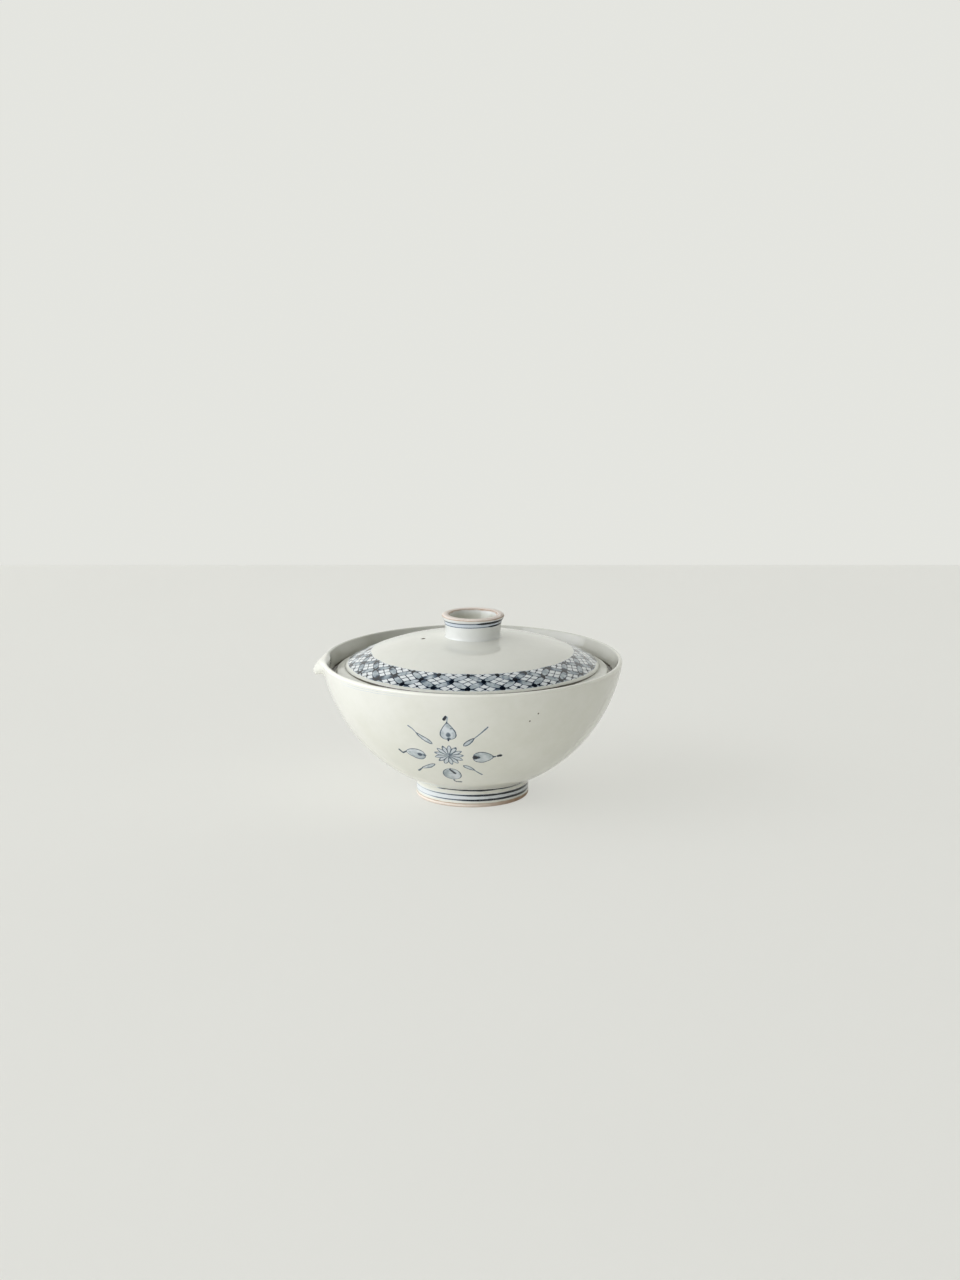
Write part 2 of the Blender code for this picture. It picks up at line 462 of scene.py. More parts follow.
@dataclass(frozen=True)
class BrushLine(Effect):
    """A line drawn round the turning ware with a loaded brush: it wavers, swells and runs dry."""

    name: str = "brush_line"
    takes: Sockets = sockets("Offset, Half Width, Sway, Load", "Place")
    gives: Sockets = sockets("Ink")

    def work(self, tree: Tree, given: Values) -> Values:
        """Builds the inside of the group.

        Args:
            tree: The group's own tree.
            given: Its inputs by name.

        Returns:
            Its outputs by name.
        """
        place, load = given["Place"], given["Load"]
        off = abs(given["Offset"] + place.sway(0.11, 1.0) * given["Sway"])
        width = given["Half Width"] * (load * 0.75 + 0.25) * (place.noise(0.16, 2.0) * 0.9 + 0.55)
        core = (width - off) + place.sway(2.2, 0.05)
        ink = core.rise(-0.07, 0.09) * (place.noise(0.22, 2.0) * 0.7 + 0.65)
        return {"Ink": ink * load}


@dataclass(frozen=True)
class GlazeSkin(Effect):
    """The glaze itself: clouds of tone, iron specks, a faintly rippled surface and its changing gloss."""

    name: str = "glaze_skin"
    takes: Sockets = sockets(vectors="Place")
    gives: Sockets = sockets("Cloud, Speck, Ripple, Roughness")
    speck_cell: float = 11.0
    speck_radius: float = 0.24
    speck_share: float = 0.16

    def work(self, tree: Tree, given: Values) -> Values:
        """Builds the inside of the group.

        Args:
            tree: The group's own tree.
            given: Its inputs by name.

        Returns:
            Its outputs by name.
        """
        place = given["Place"]
        cells = tree.nodes.new("ShaderNodeTexVoronoi")
        place.plug(cells.inputs["Vector"])
        cells.inputs["Scale"].default_value = 1.0 / self.speck_cell
        chance, size, _ = Field(tree, cells.outputs["Color"]).parts()
        near = Field(tree, cells.outputs["Distance"]) * self.speck_cell
        radius = (size * 0.8 + 0.5) * self.speck_radius
        speck = (radius - near).rise(-0.06, 0.06) * chance.fall(self.speck_share - 0.01, self.speck_share)
        cloud = place.noise(0.05, 3.0) * 0.7 + place.noise(0.32, 3.0) * 0.3
        ripple = place.sway(0.10, 0.030, 2.0) + place.sway(0.9, 0.0025, 2.0)
        roughness = place.noise(0.4, 3.0) * 0.04 + 0.012
        return {"Cloud": cloud, "Speck": speck, "Ripple": ripple, "Roughness": roughness}


@dataclass(frozen=True)
class BareEdge(Effect):
    """Where the glaze was wiped off for the kiln.

    The glaze ends in a ragged edge with a toasted line on it, and beyond it the clay shows its grain.
    Painted shade darkens the clay towards its bottom edge, and on a side where a finish asks for it.
    """

    name: str = "bare_edge"
    takes: Sockets = sockets("Depth, Scorch", "Place")
    gives: Sockets = sockets("Bare, Toast, Grain")

    def work(self, tree: Tree, given: Values) -> Values:
        """Builds the inside of the group.

        Args:
            tree: The group's own tree.
            given: Its inputs by name.

        Returns:
            Its outputs by name.
        """
        place = given["Place"]
        depth = given["Depth"] + place.sway(0.35, 0.14, 3.0)
        bare = depth.rise(-0.10, 0.10)
        toast = abs(depth - 0.10).fall(0.0, 0.34) * (place.noise(0.4, 2.0) * 1.1 + 0.25)
        grain = place.noise(4.5, 4.0) * 0.6 + place.noise(1.1, 3.0) * 0.4
        # painted shade: the clay darkens towards the bottom edge
        painted_bottom_shade = depth.rise(0.7, 1.8) * (place.noise(0.9, 2.0) * 0.5 + 0.42)
        # painted shade on the side that the finish asks for
        scorch = bare * given["Scorch"] * (place.noise(0.5, 2.0) * 0.5 + 0.65)
        return {"Bare": bare, "Toast": toast.most(painted_bottom_shade).most(scorch).least(1.0), "Grain": grain}


@dataclass(frozen=True)
class PaintedCreaseShade(Effect):
    """Painted shade along a crease: a dark brown line of uneven width and strength."""

    name: str = "painted_crease_shade"
    takes: Sockets = sockets("Offset, Core, Reach", "Place")
    gives: Sockets = sockets("Stain")

    def work(self, tree: Tree, given: Values) -> Values:
        """Builds the inside of the group.

        Args:
            tree: The group's own tree.
            given: Its inputs by name.

        Returns:
            Its outputs by name.
        """
        place, core, reach = given["Place"], given["Core"], given["Reach"]
        off = given["Offset"] + place.sway(0.5, 1.0, 2.0) * (reach - core) * 0.5
        return {"Stain": off.fall(core, reach) * (place.noise(0.25, 2.0) * 0.4 + 0.80)}


@dataclass(frozen=True)
class NetBand(Effect):
    """The net round the lid.

    Linked rings overlap in washed petals, with knots where they meet, and each mesh holds a lozenge flower.
    """

    name: str = "net_band"
    takes: Sockets = sockets("Angle, Radius", "Place")
    gives: Sockets = sockets("Ink, White")
    repeats: int = 23
    first_knot: float = -1.9
    outer_radius: float = 48.45
    inner_radius: float = 41.0
    flower: float = 0.66
    painted_side_darkening: float = 0.55  # how much darker the ink is painted on the left and right, against grazing reflection and foreshortening there
    side_darkening_from: Point = (12.0, 50.0)
    side_darkening_to: Point = (100.0, 150.0)

    @property
    def row(self) -> float:
        """Distance between two rows of knots."""
        return (self.outer_radius - self.inner_radius) / 2.0

    @property
    def half_pitch(self) -> float:
        """Half the distance between two knots of a row."""
        return math.pi * (self.outer_radius + self.inner_radius) / 2.0 / self.repeats

    def knots(self, across: Field, along: Field, over: Field, place: Field) -> tuple[Field, Field]:
        """The dark dots where rings meet.

        Args:
            across: Share of a half pitch from the nearest line of outer knots.
            along: Share of a row from the nearest row of them.
            over: Rows from the band's outer edge.
            place: The place on the lid.

        Returns:
            A mask of the knots and one of the ink that pooled round some of them.
        """
        outer = length(across * self.half_pitch, along * self.row)
        middle = length((across - 1.0) * self.half_pitch, (along - 1.0) * self.row)
        size = place.noise(0.31, 1.0) * 0.7 + 0.64 - over.rise(1.4, 1.8) * 0.06
        near = outer.least(middle) - size
        return near.fall(-0.04, 0.05), near.fall(0.2, 2.2) * place.noise(0.30, 1.0).rise(0.50, 0.58)

    def lozenges(self, across: Field, along: Field, place: Field) -> tuple[Field, Field, Field]:
        """The flowers in the meshes.

        Args:
            across: Share of a half pitch from the nearest line of outer knots.
            along: Share of a row from the nearest row of them.
            place: The place on the lid.

        Returns:
            The white of the petals, the thin lines round and between them, and the dots at their corners.
        """
        bloom = (across + (1.0 - along)).least((1.0 - across) + along)
        seam = abs(across - (1.0 - along)).least(abs((1.0 - across) - along))
        white = bloom.fall(self.flower - 0.04, self.flower) * seam.rise(0.03, 0.07)
        edge = abs(bloom - self.flower).fall(0.02, 0.06)
        veins = edge.most(seam.fall(0.02, 0.06) * bloom.fall(self.flower, self.flower + 0.10))
        veins = veins * (place.noise(0.7, 2.0) * 0.9 + 0.35)
        half = 0.5 * self.flower
        corner = length((across - half) * self.half_pitch, (along - 1.0 + half) * self.row)
        corner_dot = corner.fall(0.20, 0.48) * place.noise(0.21, 0.0).rise(0.50, 0.56)
        edge_dot = length((1.0 - across) * self.half_pitch, along * self.row).fall(0.40, 0.62)
        return white, veins, edge_dot.most(corner_dot * 0.9)

    def work(self, tree: Tree, given: Values) -> Values:
        """Builds the inside of the group.

        Args:
            tree: The group's own tree.
            given: Its inputs by name.

        Returns:
            Its outputs by name.
        """
        place = given["Place"]
        shift = place.sway(0.09, 0.13) + place.sway(0.45, 0.06)
        round_by = (given["Angle"] - self.first_knot) * (self.repeats / 180.0) + shift
        radius = given["Radius"] + place.sway(0.16, 0.36) + place.sway(0.8, 0.12)
        over = (self.outer_radius - radius) / self.row
        across = round_by.folded(1.0)
        along = over.folded(1.0)
        inside = over.rise(-0.26, -0.20) * over.fall(2.18, 2.24)

        from_mesh = length(across, along - 1.0)
        from_edge = length(across - 1.0, along)
        petal = from_mesh.most(from_edge).fall(0.96, 1.0)
        line = abs(from_mesh - 1.0).least(abs(from_edge - 1.0)) - place.noise(0.5, 2.0) * 0.045
        outline = line.fall(0.0, 0.05) * (place.noise(0.6, 2.0) + 0.42)
        knot, pool = self.knots(across, along, over, place)
        white, veins, dots = self.lozenges(across, along, place)
        border = abs(over - 0.04).fall(0.02, 0.07) * 0.16
        wash = petal * (place.noise(0.34, 2.0).rise(0.30, 0.70) * 0.125 + 0.04)

        white = white * (1.0 - petal)
        ink = (wash + pool * petal * 0.42).most(outline).most(border) * (1.0 - white)
        ink = ink.most(veins * (1.0 - petal * 0.7)).most(dots).most(knot * 1.4)
        # the ink is painted darker towards the left and right, against the glaze's grazing reflection there
        sides = abs(given["Angle"])
        painted_side_darkening = sides.rise(*self.side_darkening_from) * sides.fall(*self.side_darkening_to) * self.painted_side_darkening + 1.0
        return {"Ink": ink * inside * painted_side_darkening, "White": white * inside}


@dataclass(frozen=True)
class Stroke(Effect):
    """One straight pull of the brush, which swells or thins on its way."""

    name: str = "brush_stroke"
    takes: Sockets = sockets("First Width, Last Width, Density", "Spot On Bowl, Start, Run, Place")
    gives: Sockets = sockets("Ink")

    def work(self, tree: Tree, given: Values) -> Values:
        """Builds the inside of the group.

        Args:
            tree: The group's own tree.
            given: Its inputs by name.

        Returns:
            Its outputs by name.
        """
        run, first = given["Run"], given["First Width"]
        from_start = given["Spot On Bowl"].vector("SUBTRACT", given["Start"])
        share = from_start.vector("DOT_PRODUCT", run) / run.vector("DOT_PRODUCT", run)
        share = share.most(0.0).least(1.0)
        across, up, _ = from_start.parts()
        run_across, run_up, _ = run.parts()
        off = length(across - run_across * share, up - run_up * share)
        width = first + (given["Last Width"] - first) * share
        ink = (off - width).fall(-0.08, 0.14) * (given["Place"].noise(0.6, 2.0) * 0.7 + 0.65)
        return {"Ink": ink * given["Density"]}


@dataclass(frozen=True)
class Petal(Effect):
    """One painted bud or leaf: a thin outline with a pale wash in it, a dark inner end and a dark heart."""

    name: str = "painted_petal"
    takes: Sockets = sockets(
        "Length, Fullness, Taper, Heart, Heart Size, Root, Wash",
        "Spot On Bowl, Start, Heading, Sideways, Place",
    )
    gives: Sockets = sockets("Ink")

    def work(self, tree: Tree, given: Values) -> Values:
        """Builds the inside of the group.

        Args:
            tree: The group's own tree.
            given: Its inputs by name.

        Returns:
            Its outputs by name.
        """
        place, size = given["Place"], given["Heart Size"]
        from_start = given["Spot On Bowl"].vector("SUBTRACT", given["Start"])
        along = from_start.vector("DOT_PRODUCT", given["Heading"])
        side = from_start.vector("DOT_PRODUCT", given["Sideways"])
        held = (along / given["Length"]).most(0.0).least(1.0)
        half_width = held.root() * (1.0 - held).math("POWER", given["Taper"]) * given["Fullness"]
        beyond = (along - given["Length"]).most(along * -1.0)
        outside = (abs(side) - half_width).most(beyond)
        within = outside.fall(-0.05, 0.12)
        wash = within * (place.noise(0.25, 2.0).rise(0.35, 0.65) * 0.10 + 0.025) * given["Wash"]
        thick = place.noise(0.7, 2.0) * 0.20 + 0.04
        outline = (abs(outside) - thick).fall(0.0, 0.13) * (place.noise(0.45, 2.0) * 0.6 + 0.26)
        heart = length((along - size * 2.0) * 0.85, side) / size
        dark = heart.fall(0.45, 1.0) * given["Heart"] * (place.noise(0.6, 2.0) * 0.9 + 0.3)
        root = length(along - 0.3, side).fall(0.35, given["Root"] * 0.85 + 0.75) * given["Root"]
        return {"Ink": wash.most(outline).most((dark + root) * within)}


PLACE = TurningPlace()
INK = InkOnGlaze()
LINE = BrushLine()
SKIN = GlazeSkin()
BARE = BareEdge()
CREASE_SHADE = PaintedCreaseShade()
NET = NetBand()
STROKE = Stroke()
PETAL = Petal()


def drawn(at: Surface, offset: Field, half_width: float, sway: float, load: Field | float) -> Field:
    """Draws a line round the ware.

    Args:
        at: The surface.
        offset: Distance from the line.
        half_width: Half its width where the brush is full.
        sway: How far it wavers.
        load: How full the brush is.

    Returns:
        The line's ink.
    """
    given = {"Half_Width": half_width, "Sway": sway, "Load": load}
    return LINE.place(at.tree, Offset=offset, Place=at.place, **given)["Ink"]


# Finishes


@dataclass(frozen=True)
class GlazedFinish:
    """White porcelain glaze with blue brushwork, which may end in a bare clay edge."""

    name: str
    white: Colour = (0.80, 0.80, 0.735)
    cloudy: Colour = (0.75, 0.752, 0.672)
    # colour of iron specks, and of the painted shade inside the lid's vent
    iron_and_shade: Colour = (0.10, 0.075, 0.05)
    clay: Colour = (0.86, 0.795, 0.725)
    clay_shade: Colour = (0.80, 0.70, 0.61)
    # colour of the toasted line at the glaze's edge, and of the painted shade on the bare clay
    toast_and_shade: Colour = (0.40, 0.255, 0.155)
    # colour of the painted shade along creases
    crease_shade_colour: Colour = (0.09, 0.075, 0.055)
    rougher_clay: float = 0.68  # how much rougher than the glaze the bare clay is
    glaze_thickness: float = 0.09
    clay_grain: float = 0.05  # depth of the clay's grain
    glaze_ior: float = 1.52
    crease_shade_reach: Point = (0.0, 0.0)  # how far from a crease the painted shade is dense, and where it ends
    clouds: Point = (0.3, 0.72)  # where the noise turns from white to cloudy
    clay_clouds: Point = (0.35, 0.7)  # where the grain turns from clay to its shade

    def material(self) -> Material:
        """Builds the material.

        Returns:
            The new material, with the Principled shader in its own tree.
        """
        material = bpy.data.materials.new(self.name)
        material.use_nodes = True
        tree = material.node_tree
        shader = tree.nodes["Principled BSDF"]
        at = PLACE.at(tree)
        skin = SKIN.place(tree, Place=at.place)
        colour = self.glazed(at, skin)
        roughness, relief = skin["Roughness"], skin["Ripple"]
        depth = self.bare_depth(at)
        if depth is not None:
            # the bare clay, with its toasted line and its painted shade
            edge = BARE.place(tree, Depth=depth, Scorch=self.scorch(at), Place=at.place)
            clay = blend(edge["Grain"].rise(*self.clay_clouds), self.clay, self.clay_shade)
            colour = blend(edge["Toast"], blend(edge["Bare"], colour, clay), self.toast_and_shade)
            roughness = roughness + edge["Bare"] * self.rougher_clay
            relief = relief + edge["Bare"] * (edge["Grain"] * self.clay_grain - self.glaze_thickness)
        colour.plug(shader.inputs["Base Color"])
        roughness.plug(shader.inputs["Roughness"])
        bump = tree.nodes.new("ShaderNodeBump")
        bump.inputs["Distance"].default_value = MM
        relief.plug(bump.inputs["Height"])
        tree.links.new(bump.outputs["Normal"], shader.inputs["Normal"])
        shader.inputs["IOR"].default_value = self.glaze_ior
        return material

    def glazed(self, at: Surface, skin: Values) -> Field:
        """The glaze with all that is painted on it, and painted shade along a crease.

        Args:
            at: The surface.
            skin: The glaze's own changes over it.

        Returns:
            The colour.
        """
        glaze = self.toned(at, blend(skin["Cloud"].rise(*self.clouds), self.white, self.cloudy))
        painted = INK.place(at.tree, Glaze=glaze, Ink=self.ink(at), Place=at.place)["Color"]
        # iron specks, and the painted shade inside the vent
        colour = blend(skin["Speck"].most(self.specks_and_shade(at)), painted, self.iron_and_shade)
        crease = self.crease(at)
        if crease is None:
            return colour
        # painted shade along the crease
        core, reach = self.crease_shade_reach
        crease_shading = CREASE_SHADE.place(at.tree, Offset=crease, Core=core, Reach=reach, Place=at.place)["Stain"]
        return blend(crease_shading.least(1.0), colour, self.crease_shade_colour)

    def toned(self, at: Surface, glaze: Field) -> Field:
        """The glaze's colour with what changes it on this piece."""
        return glaze

    def ink(self, at: Surface) -> Field:
        """The brushwork's density, which is none unless a finish paints some."""
        return at.nothing

    def specks_and_shade(self, at: Surface) -> Field:
        """Iron specks and painted shade in the iron colour, none unless a finish has some."""
        return at.nothing

    def crease(self, at: Surface) -> Field | None:
        """Distance from the crease that gets painted shade, or None where there is none."""
        return None

    def bare_depth(self, at: Surface) -> Field | None:
        """How far a point lies inside the bare clay, or None where the piece is glazed all over."""
        return None

    def scorch(self, at: Surface) -> Field:
        """Painted shade on one side of the bare clay, which is none unless a finish says so."""
        return at.nothing


@dataclass(frozen=True)
class JointLine:
    """The dark line drawn where the bowl meets its foot, which both pieces carry."""

    height: float = 7.58
    half_width: float = 0.54
    sway: float = 0.22
    load: float = 1.25
    dry_middle: float = -66.0
    dry_reach: Point = (28.0, 40.0)
    ends: Point = (26.5, 27.5)  # radius on the bowl beyond which nothing is drawn

    def ink(self, at: Surface) -> Field:
        """The line's ink, which runs dry towards the left of the front.

        Args:
            at: The surface of either piece.

        Returns:
            The ink.
        """
        wet = abs(at.angle - self.dry_middle).rise(*self.dry_reach)
        line = drawn(at, at.height - self.height, self.half_width, self.sway, self.load)
        return line * wet * at.radius.fall(*self.ends)


@dataclass(frozen=True)
class PetalPlan:
    """One bud or leaf of the flower, in millimetres across and up from the flower's middle."""

    start: Point
    end: Point
    half_width: float
    taper: float = 1.0  # 0.5 makes an oval and 1 a drop
    heart: float = 0.0
    heart_size: float = 0.9
    root: float = 0.0
    wash: float = 1.0

    def ink(self, spot: Field, at: Surface) -> Field:
        """Paints the bud or leaf.

        Args:
            spot: Millimetres across and up from the flower's middle.
            at: The surface.

        Returns:
            Its ink.
        """
        run = Vector(self.end) - Vector(self.start)
        heading = run.normalized()
        widest = 0.5 / (0.5 + self.taper)
        return PETAL.place(
            at.tree,
            Spot_On_Bowl=spot,
            Start=(*self.start, 0.0),
            Heading=(*heading, 0.0),
            Sideways=(-heading.y, heading.x, 0.0),
            Length=run.length,
            Fullness=self.half_width / (math.sqrt(widest) * (1.0 - widest) ** self.taper),
            Taper=self.taper,
            Heart=self.heart,
            Heart_Size=self.heart_size,
            Root=self.root,
            Wash=self.wash,
            Place=at.place,
        )["Ink"]


@dataclass(frozen=True)
class StrokePlan:
    """One pull of the brush over several points, in millimetres from the flower's middle."""

    points: tuple[Point, ...]
    first_width: float = 0.12
    last_width: float = 0.20
    density: float = 0.40

    def ink(self, spot: Field, at: Surface) -> Field:
        """Paints the stroke.

        Args:
            spot: Millimetres across and up from the flower's middle.
            at: The surface.

        Returns:
            Its ink.
        """
        widths = np.linspace(self.first_width, self.last_width, len(self.points))
        ink = at.nothing
        for start, end, first, last in zip(self.points, self.points[1:], widths, widths[1:]):
            made = STROKE.place(
                at.tree,
                Spot_On_Bowl=spot,
                Start=(*start, 0.0),
                Run=(end[0] - start[0], end[1] - start[1], 0.0),
                First_Width=first,
                Last_Width=last,
                Density=self.density,
                Place=at.place,
            )
            ink = ink.most(made["Ink"])
        return ink


@dataclass(frozen=True)
class BowlFinish(GlazedFinish):
    """The bowl's glaze with a radial flower brushed on its front."""

    name: str = "porcelain_with_flower"
    joint: JointLine = JointLine()
    flower_angle: float = math.radians(-10.3)
    flower_radius: float = 49.1
    flower_height: float = 28.5
    lean: float = math.radians(35.0)  # how far the wall there leans outwards from upright
    wall_bend: float = 61.5  # radius to which the wall bends there
    rosette_radius: float = 5.6
    rosette_petals: int = 13
    petals: tuple[PetalPlan, ...] = (
        PetalPlan((0.8, 8.7), (0.75, 16.8), 2.95, 1.0, 0.62, 1.2, 0.55, 1.2),
        PetalPlan((9.0, -1.4), (16.9, -2.4), 3.0, 0.80, 0.85, 1.0, 1.4, 1.3),
        PetalPlan((-9.3, -1.55), (-17.3, -1.75), 2.85, 0.75, 1.0, 1.15, 0.55, 1.4),
        PetalPlan((-0.45, -8.4), (-0.45, -17.2), 3.4, 0.5, 0.10, 1.0, 0.15, 1.8),
        PetalPlan((6.3, 5.5), (10.4, 9.0), 0.75, 0.8),
        PetalPlan((-6.1, 5.9), (-12.0, 10.3), 0.80, 0.9),
        PetalPlan((-6.3, -6.4), (-12.0, -11.0), 0.80, 0.7),
        PetalPlan((5.0, -6.3), (8.7, -9.8), 0.75, 0.8),
    )
    strokes: tuple[StrokePlan, ...] = (
        StrokePlan(((0.35, 19.1), (-0.25, 18.1)), 0.42, 0.55, 1.2),
        StrokePlan(((1.0, 19.0), (0.75, 16.6)), 0.22, 0.18, 0.20),
        StrokePlan(((0.7, 16.9), (0.75, 16.3)), 0.22, 0.22, 0.6),
        StrokePlan(((0.6, 8.3), (0.7, 9.3)), 0.30, 0.25, 0.75),
        StrokePlan(((2.0, 14.0), (2.9, 13.95), (3.55, 13.2), (3.75, 12.2)), 0.15, 0.15, 0.55),
        StrokePlan(((16.5, -2.35), (17.2, -2.45)), 0.28, 0.35, 0.9),
        StrokePlan(((17.2, -2.45), (18.4, -2.4)), 0.06, 0.12, 0.20),
        StrokePlan(((18.4, -2.4), (19.2, -2.45)), 0.52, 0.66, 1.3),
        StrokePlan(((-17.1, -1.75), (-18.8, -3.25), (-20.0, -2.05)), 0.26, 0.42, 0.75),
        StrokePlan(((9.5, -1.5), (10.2, -1.6)), 0.50, 0.80, 1.3),
        StrokePlan(((-0.45, -17.1), (-0.3, -18.7), (0.6, -19.7), (1.9, -19.6)), 0.14, 0.52, 0.75),
        StrokePlan(((-0.8, -9.2), (0.75, -12.0)), 0.42, 0.55, 0.9),
        StrokePlan(((10.2, 8.85), (13.1, 11.15), (15.8, 13.35)), 0.12, 0.28, 0.42),
        StrokePlan(((-11.8, 10.2), (-13.4, 12.0), (-14.7, 12.8)), 0.12, 0.28, 0.34),
        StrokePlan(((-11.9, -10.9), (-13.8, -13.8)), 0.18, 0.40, 0.65),
        StrokePlan(((8.5, -9.65), (11.0, -13.5)), 0.12, 0.30, 0.45),
    )
    hair_heights: tuple[float, ...] = (54.3, 53.5)
    hair_climb: float = math.radians(1.2)  # how far the hair lines climb in each degree
    hair_middle: float = -40.0
    hair_reach: Point = (8.0, 20.0)
    hair_half_width: float = 0.10
    hair_sway: float = 0.3
    hair_load: float = 0.14
    hair_beyond: Point = (58.2, 58.6)  # radius from which they are drawn
    speck_places: tuple[Point, ...] = ((25.8, 45.95), (22.7, 43.1))  # angle and height of each
    speck_edge: Point = (0.25, 0.42)
    # where the painted shade in the lid's seat lies, and how far it reaches
    crease_place: Point = (55.9, 49.0)
    crease_shade_reach: Point = (0.6, 1.3)
    inside_shade: Colour = (0.76, 0.76, 0.75)  # painted shade over the inside
    seat_shade: Colour = (0.80, 0.795, 0.77)  # more painted shade, deepening towards the seat
    rim_highlight: Colour = (1.17, 1.165, 1.15)  # painted highlight on the rim's shoulder
    inside_shade_within: Point = (0.945, 0.970)  # squared share of the way to the outside at which the painted inside shade ends
    inside_shade_over: Point = (6.0, 8.0)
    seat_shade_over: Point = (46.0, 48.5)
    seat_shade_under: Point = (50.0, 54.6)
    rim_highlight_over: Point = (54.0, 54.7)
    rim_highlight_beyond: Point = (57.9, 58.3)

    def crease(self, at: Surface) -> Field:
        """Distance from the corner of the lid's seat."""
        return length(at.radius - self.crease_place[0], at.height - self.crease_place[1])

    def toned(self, at: Surface, glaze: Field) -> Field:
        """The glaze with painted shade inside, deeper by the seat, and a painted highlight on the rim's
        shoulder.

        Args:
            at: The surface.
            glaze: The plain glaze's colour.

        Returns:
            The changed colour.
        """
        across = at.radius / OUTSIDE.half_width
        down = (at.height - OUTSIDE.level) / OUTSIDE.half_height
        # painted shade over the inside, and more of it towards the seat
        film = (across * across + down * down).fall(*self.inside_shade_within) * at.height.rise(*self.inside_shade_over)
        thick = film * at.height.fall(*self.seat_shade_under) * at.height.rise(*self.seat_shade_over)
        # painted highlight on the rim's shoulder
        pool = at.height.rise(*self.rim_highlight_over) * at.radius.rise(*self.rim_highlight_beyond)
        glaze = glaze.tinted(film, self.inside_shade).tinted(thick, self.seat_shade)
        return glaze.tinted(pool, self.rim_highlight)

    def spot(self, at: Surface) -> tuple[Field, Field, Field]:
        """Where a point of the bowl's outside lies from the flower's middle.

        Args:
            at: The surface.

        Returns:
            Millimetres across and up, and a mask of the bowl's outside.
        """
        sine, cosine = math.sin(self.flower_angle), math.cos(self.flower_angle)
        outwards, upwards = math.sin(self.lean), math.cos(self.lean)
        middle = (self.flower_radius * sine, -self.flower_radius * cosine, self.flower_height)
        here = at.place.vector("SUBTRACT", middle)
        across = here.vector("DOT_PRODUCT", (cosine, sine, 0.0))
        up = here.vector("DOT_PRODUCT", (outwards * sine, -outwards * cosine, upwards))
        into = here.vector("DOT_PRODUCT", (upwards * sine, -upwards * cosine, -outwards))
        bulge = (across * across + up * up) * (0.5 / self.wall_bend)
        return across, up, (into + bulge).rise(-2.2, -1.6)

    def ink(self, at: Surface) -> Field:
        """The flower's ink, the line over the foot and the hair lines under the rim.

        Args:
            at: The surface.

        Returns:
            The ink.
        """
        place = at.place
        across, up, outside = self.spot(at)
        across = across + place.sway(0.14, 0.30) + place.sway(0.6, 0.10)
        up = up + place.sway(0.17, 0.30) + place.sway(0.7, 0.10)
        spot = joined(across, up)
        ink = self.rosette(across, up, place)
        for plan in (*self.petals, *self.strokes):
            ink = ink.most(plan.ink(spot, at))
        return (ink * outside).most(self.joint.ink(at)).most(self.hair_lines(at))

    def hair_lines(self, at: Surface) -> Field:
        """Two hair lines that run out under the rim, left of the front.

        Args:
            at: The surface.

        Returns:
            Their ink.
        """
        ink = at.nothing
        for height in self.hair_heights:
            off = at.height - height - at.angle * self.hair_climb
            ink = ink.most(drawn(at, off, self.hair_half_width, self.hair_sway, self.hair_load))
        near = abs(at.angle - self.hair_middle).fall(*self.hair_reach)
        return ink * near * at.radius.rise(*self.hair_beyond)

    def rosette(self, across: Field, up: Field, place: Field) -> Field:
        """The many-petalled middle.

        Args:
            across: Millimetres to the right of its centre.
            up: Millimetres up from it.
            place: The place on the bowl.

        Returns:
            Its ink.
        """
        radius, spread = self.rosette_radius, FULL_TURN / self.rosette_petals
        reach = length(across, up)
        turn = up.math("ARCTAN2", across) * (1.0 / spread) + place.sway(0.2, 0.10)
        off_middle = turn.folded(0.5)
        share = reach / radius
        held = share.most(0.0).least(1.0)
        spacing = reach * spread
        half_width = (held * (1.0 - held).math("POWER", 0.7) * 2.6).least(spacing * 0.46)
        outside = (off_middle * spacing - half_width).most(reach - radius)
        thick = place.noise(0.8, 2.0) * 0.16 + 0.03
        outline = (abs(outside) - thick).fall(0.0, 0.13) * (place.noise(0.55, 2.0) * 0.6 + 0.2)
        outline = outline * (reach.rise(0.4, 2.2) * 0.6 + 0.4)
        wash = outside.fall(-0.1, 0.1) * (place.noise(0.4, 2.0) * 0.08 + 0.015)
        core = reach.fall(0.5, 2.8) * place.noise(0.75, 2.0).rise(0.50, 0.64) * 0.55
        tips = abs(share - 0.93).fall(0.03, 0.12) * off_middle.fall(0.06, 0.18)
        tips = tips * place.noise(0.30, 1.0).rise(0.40, 0.60) * 0.7
        return wash.most(outline).most(core).most(tips) * reach.fall(radius, radius + 0.3)

    def specks_and_shade(self, at: Surface) -> Field:
        """The two iron specks on the right of the front.

        Args:
            at: The surface.

        Returns:
            A mask of them.
        """
        made = at.nothing
        for degrees, height in self.speck_places:
            angle, radius = math.radians(degrees), OUTSIDE.radius(height)
            spot = (radius * math.sin(angle), -radius * math.cos(angle), height)
            across, along, up = at.place.vector("SUBTRACT", spot).parts()
            made = made.most(length(length(across, along), up).fall(*self.speck_edge))
        return made


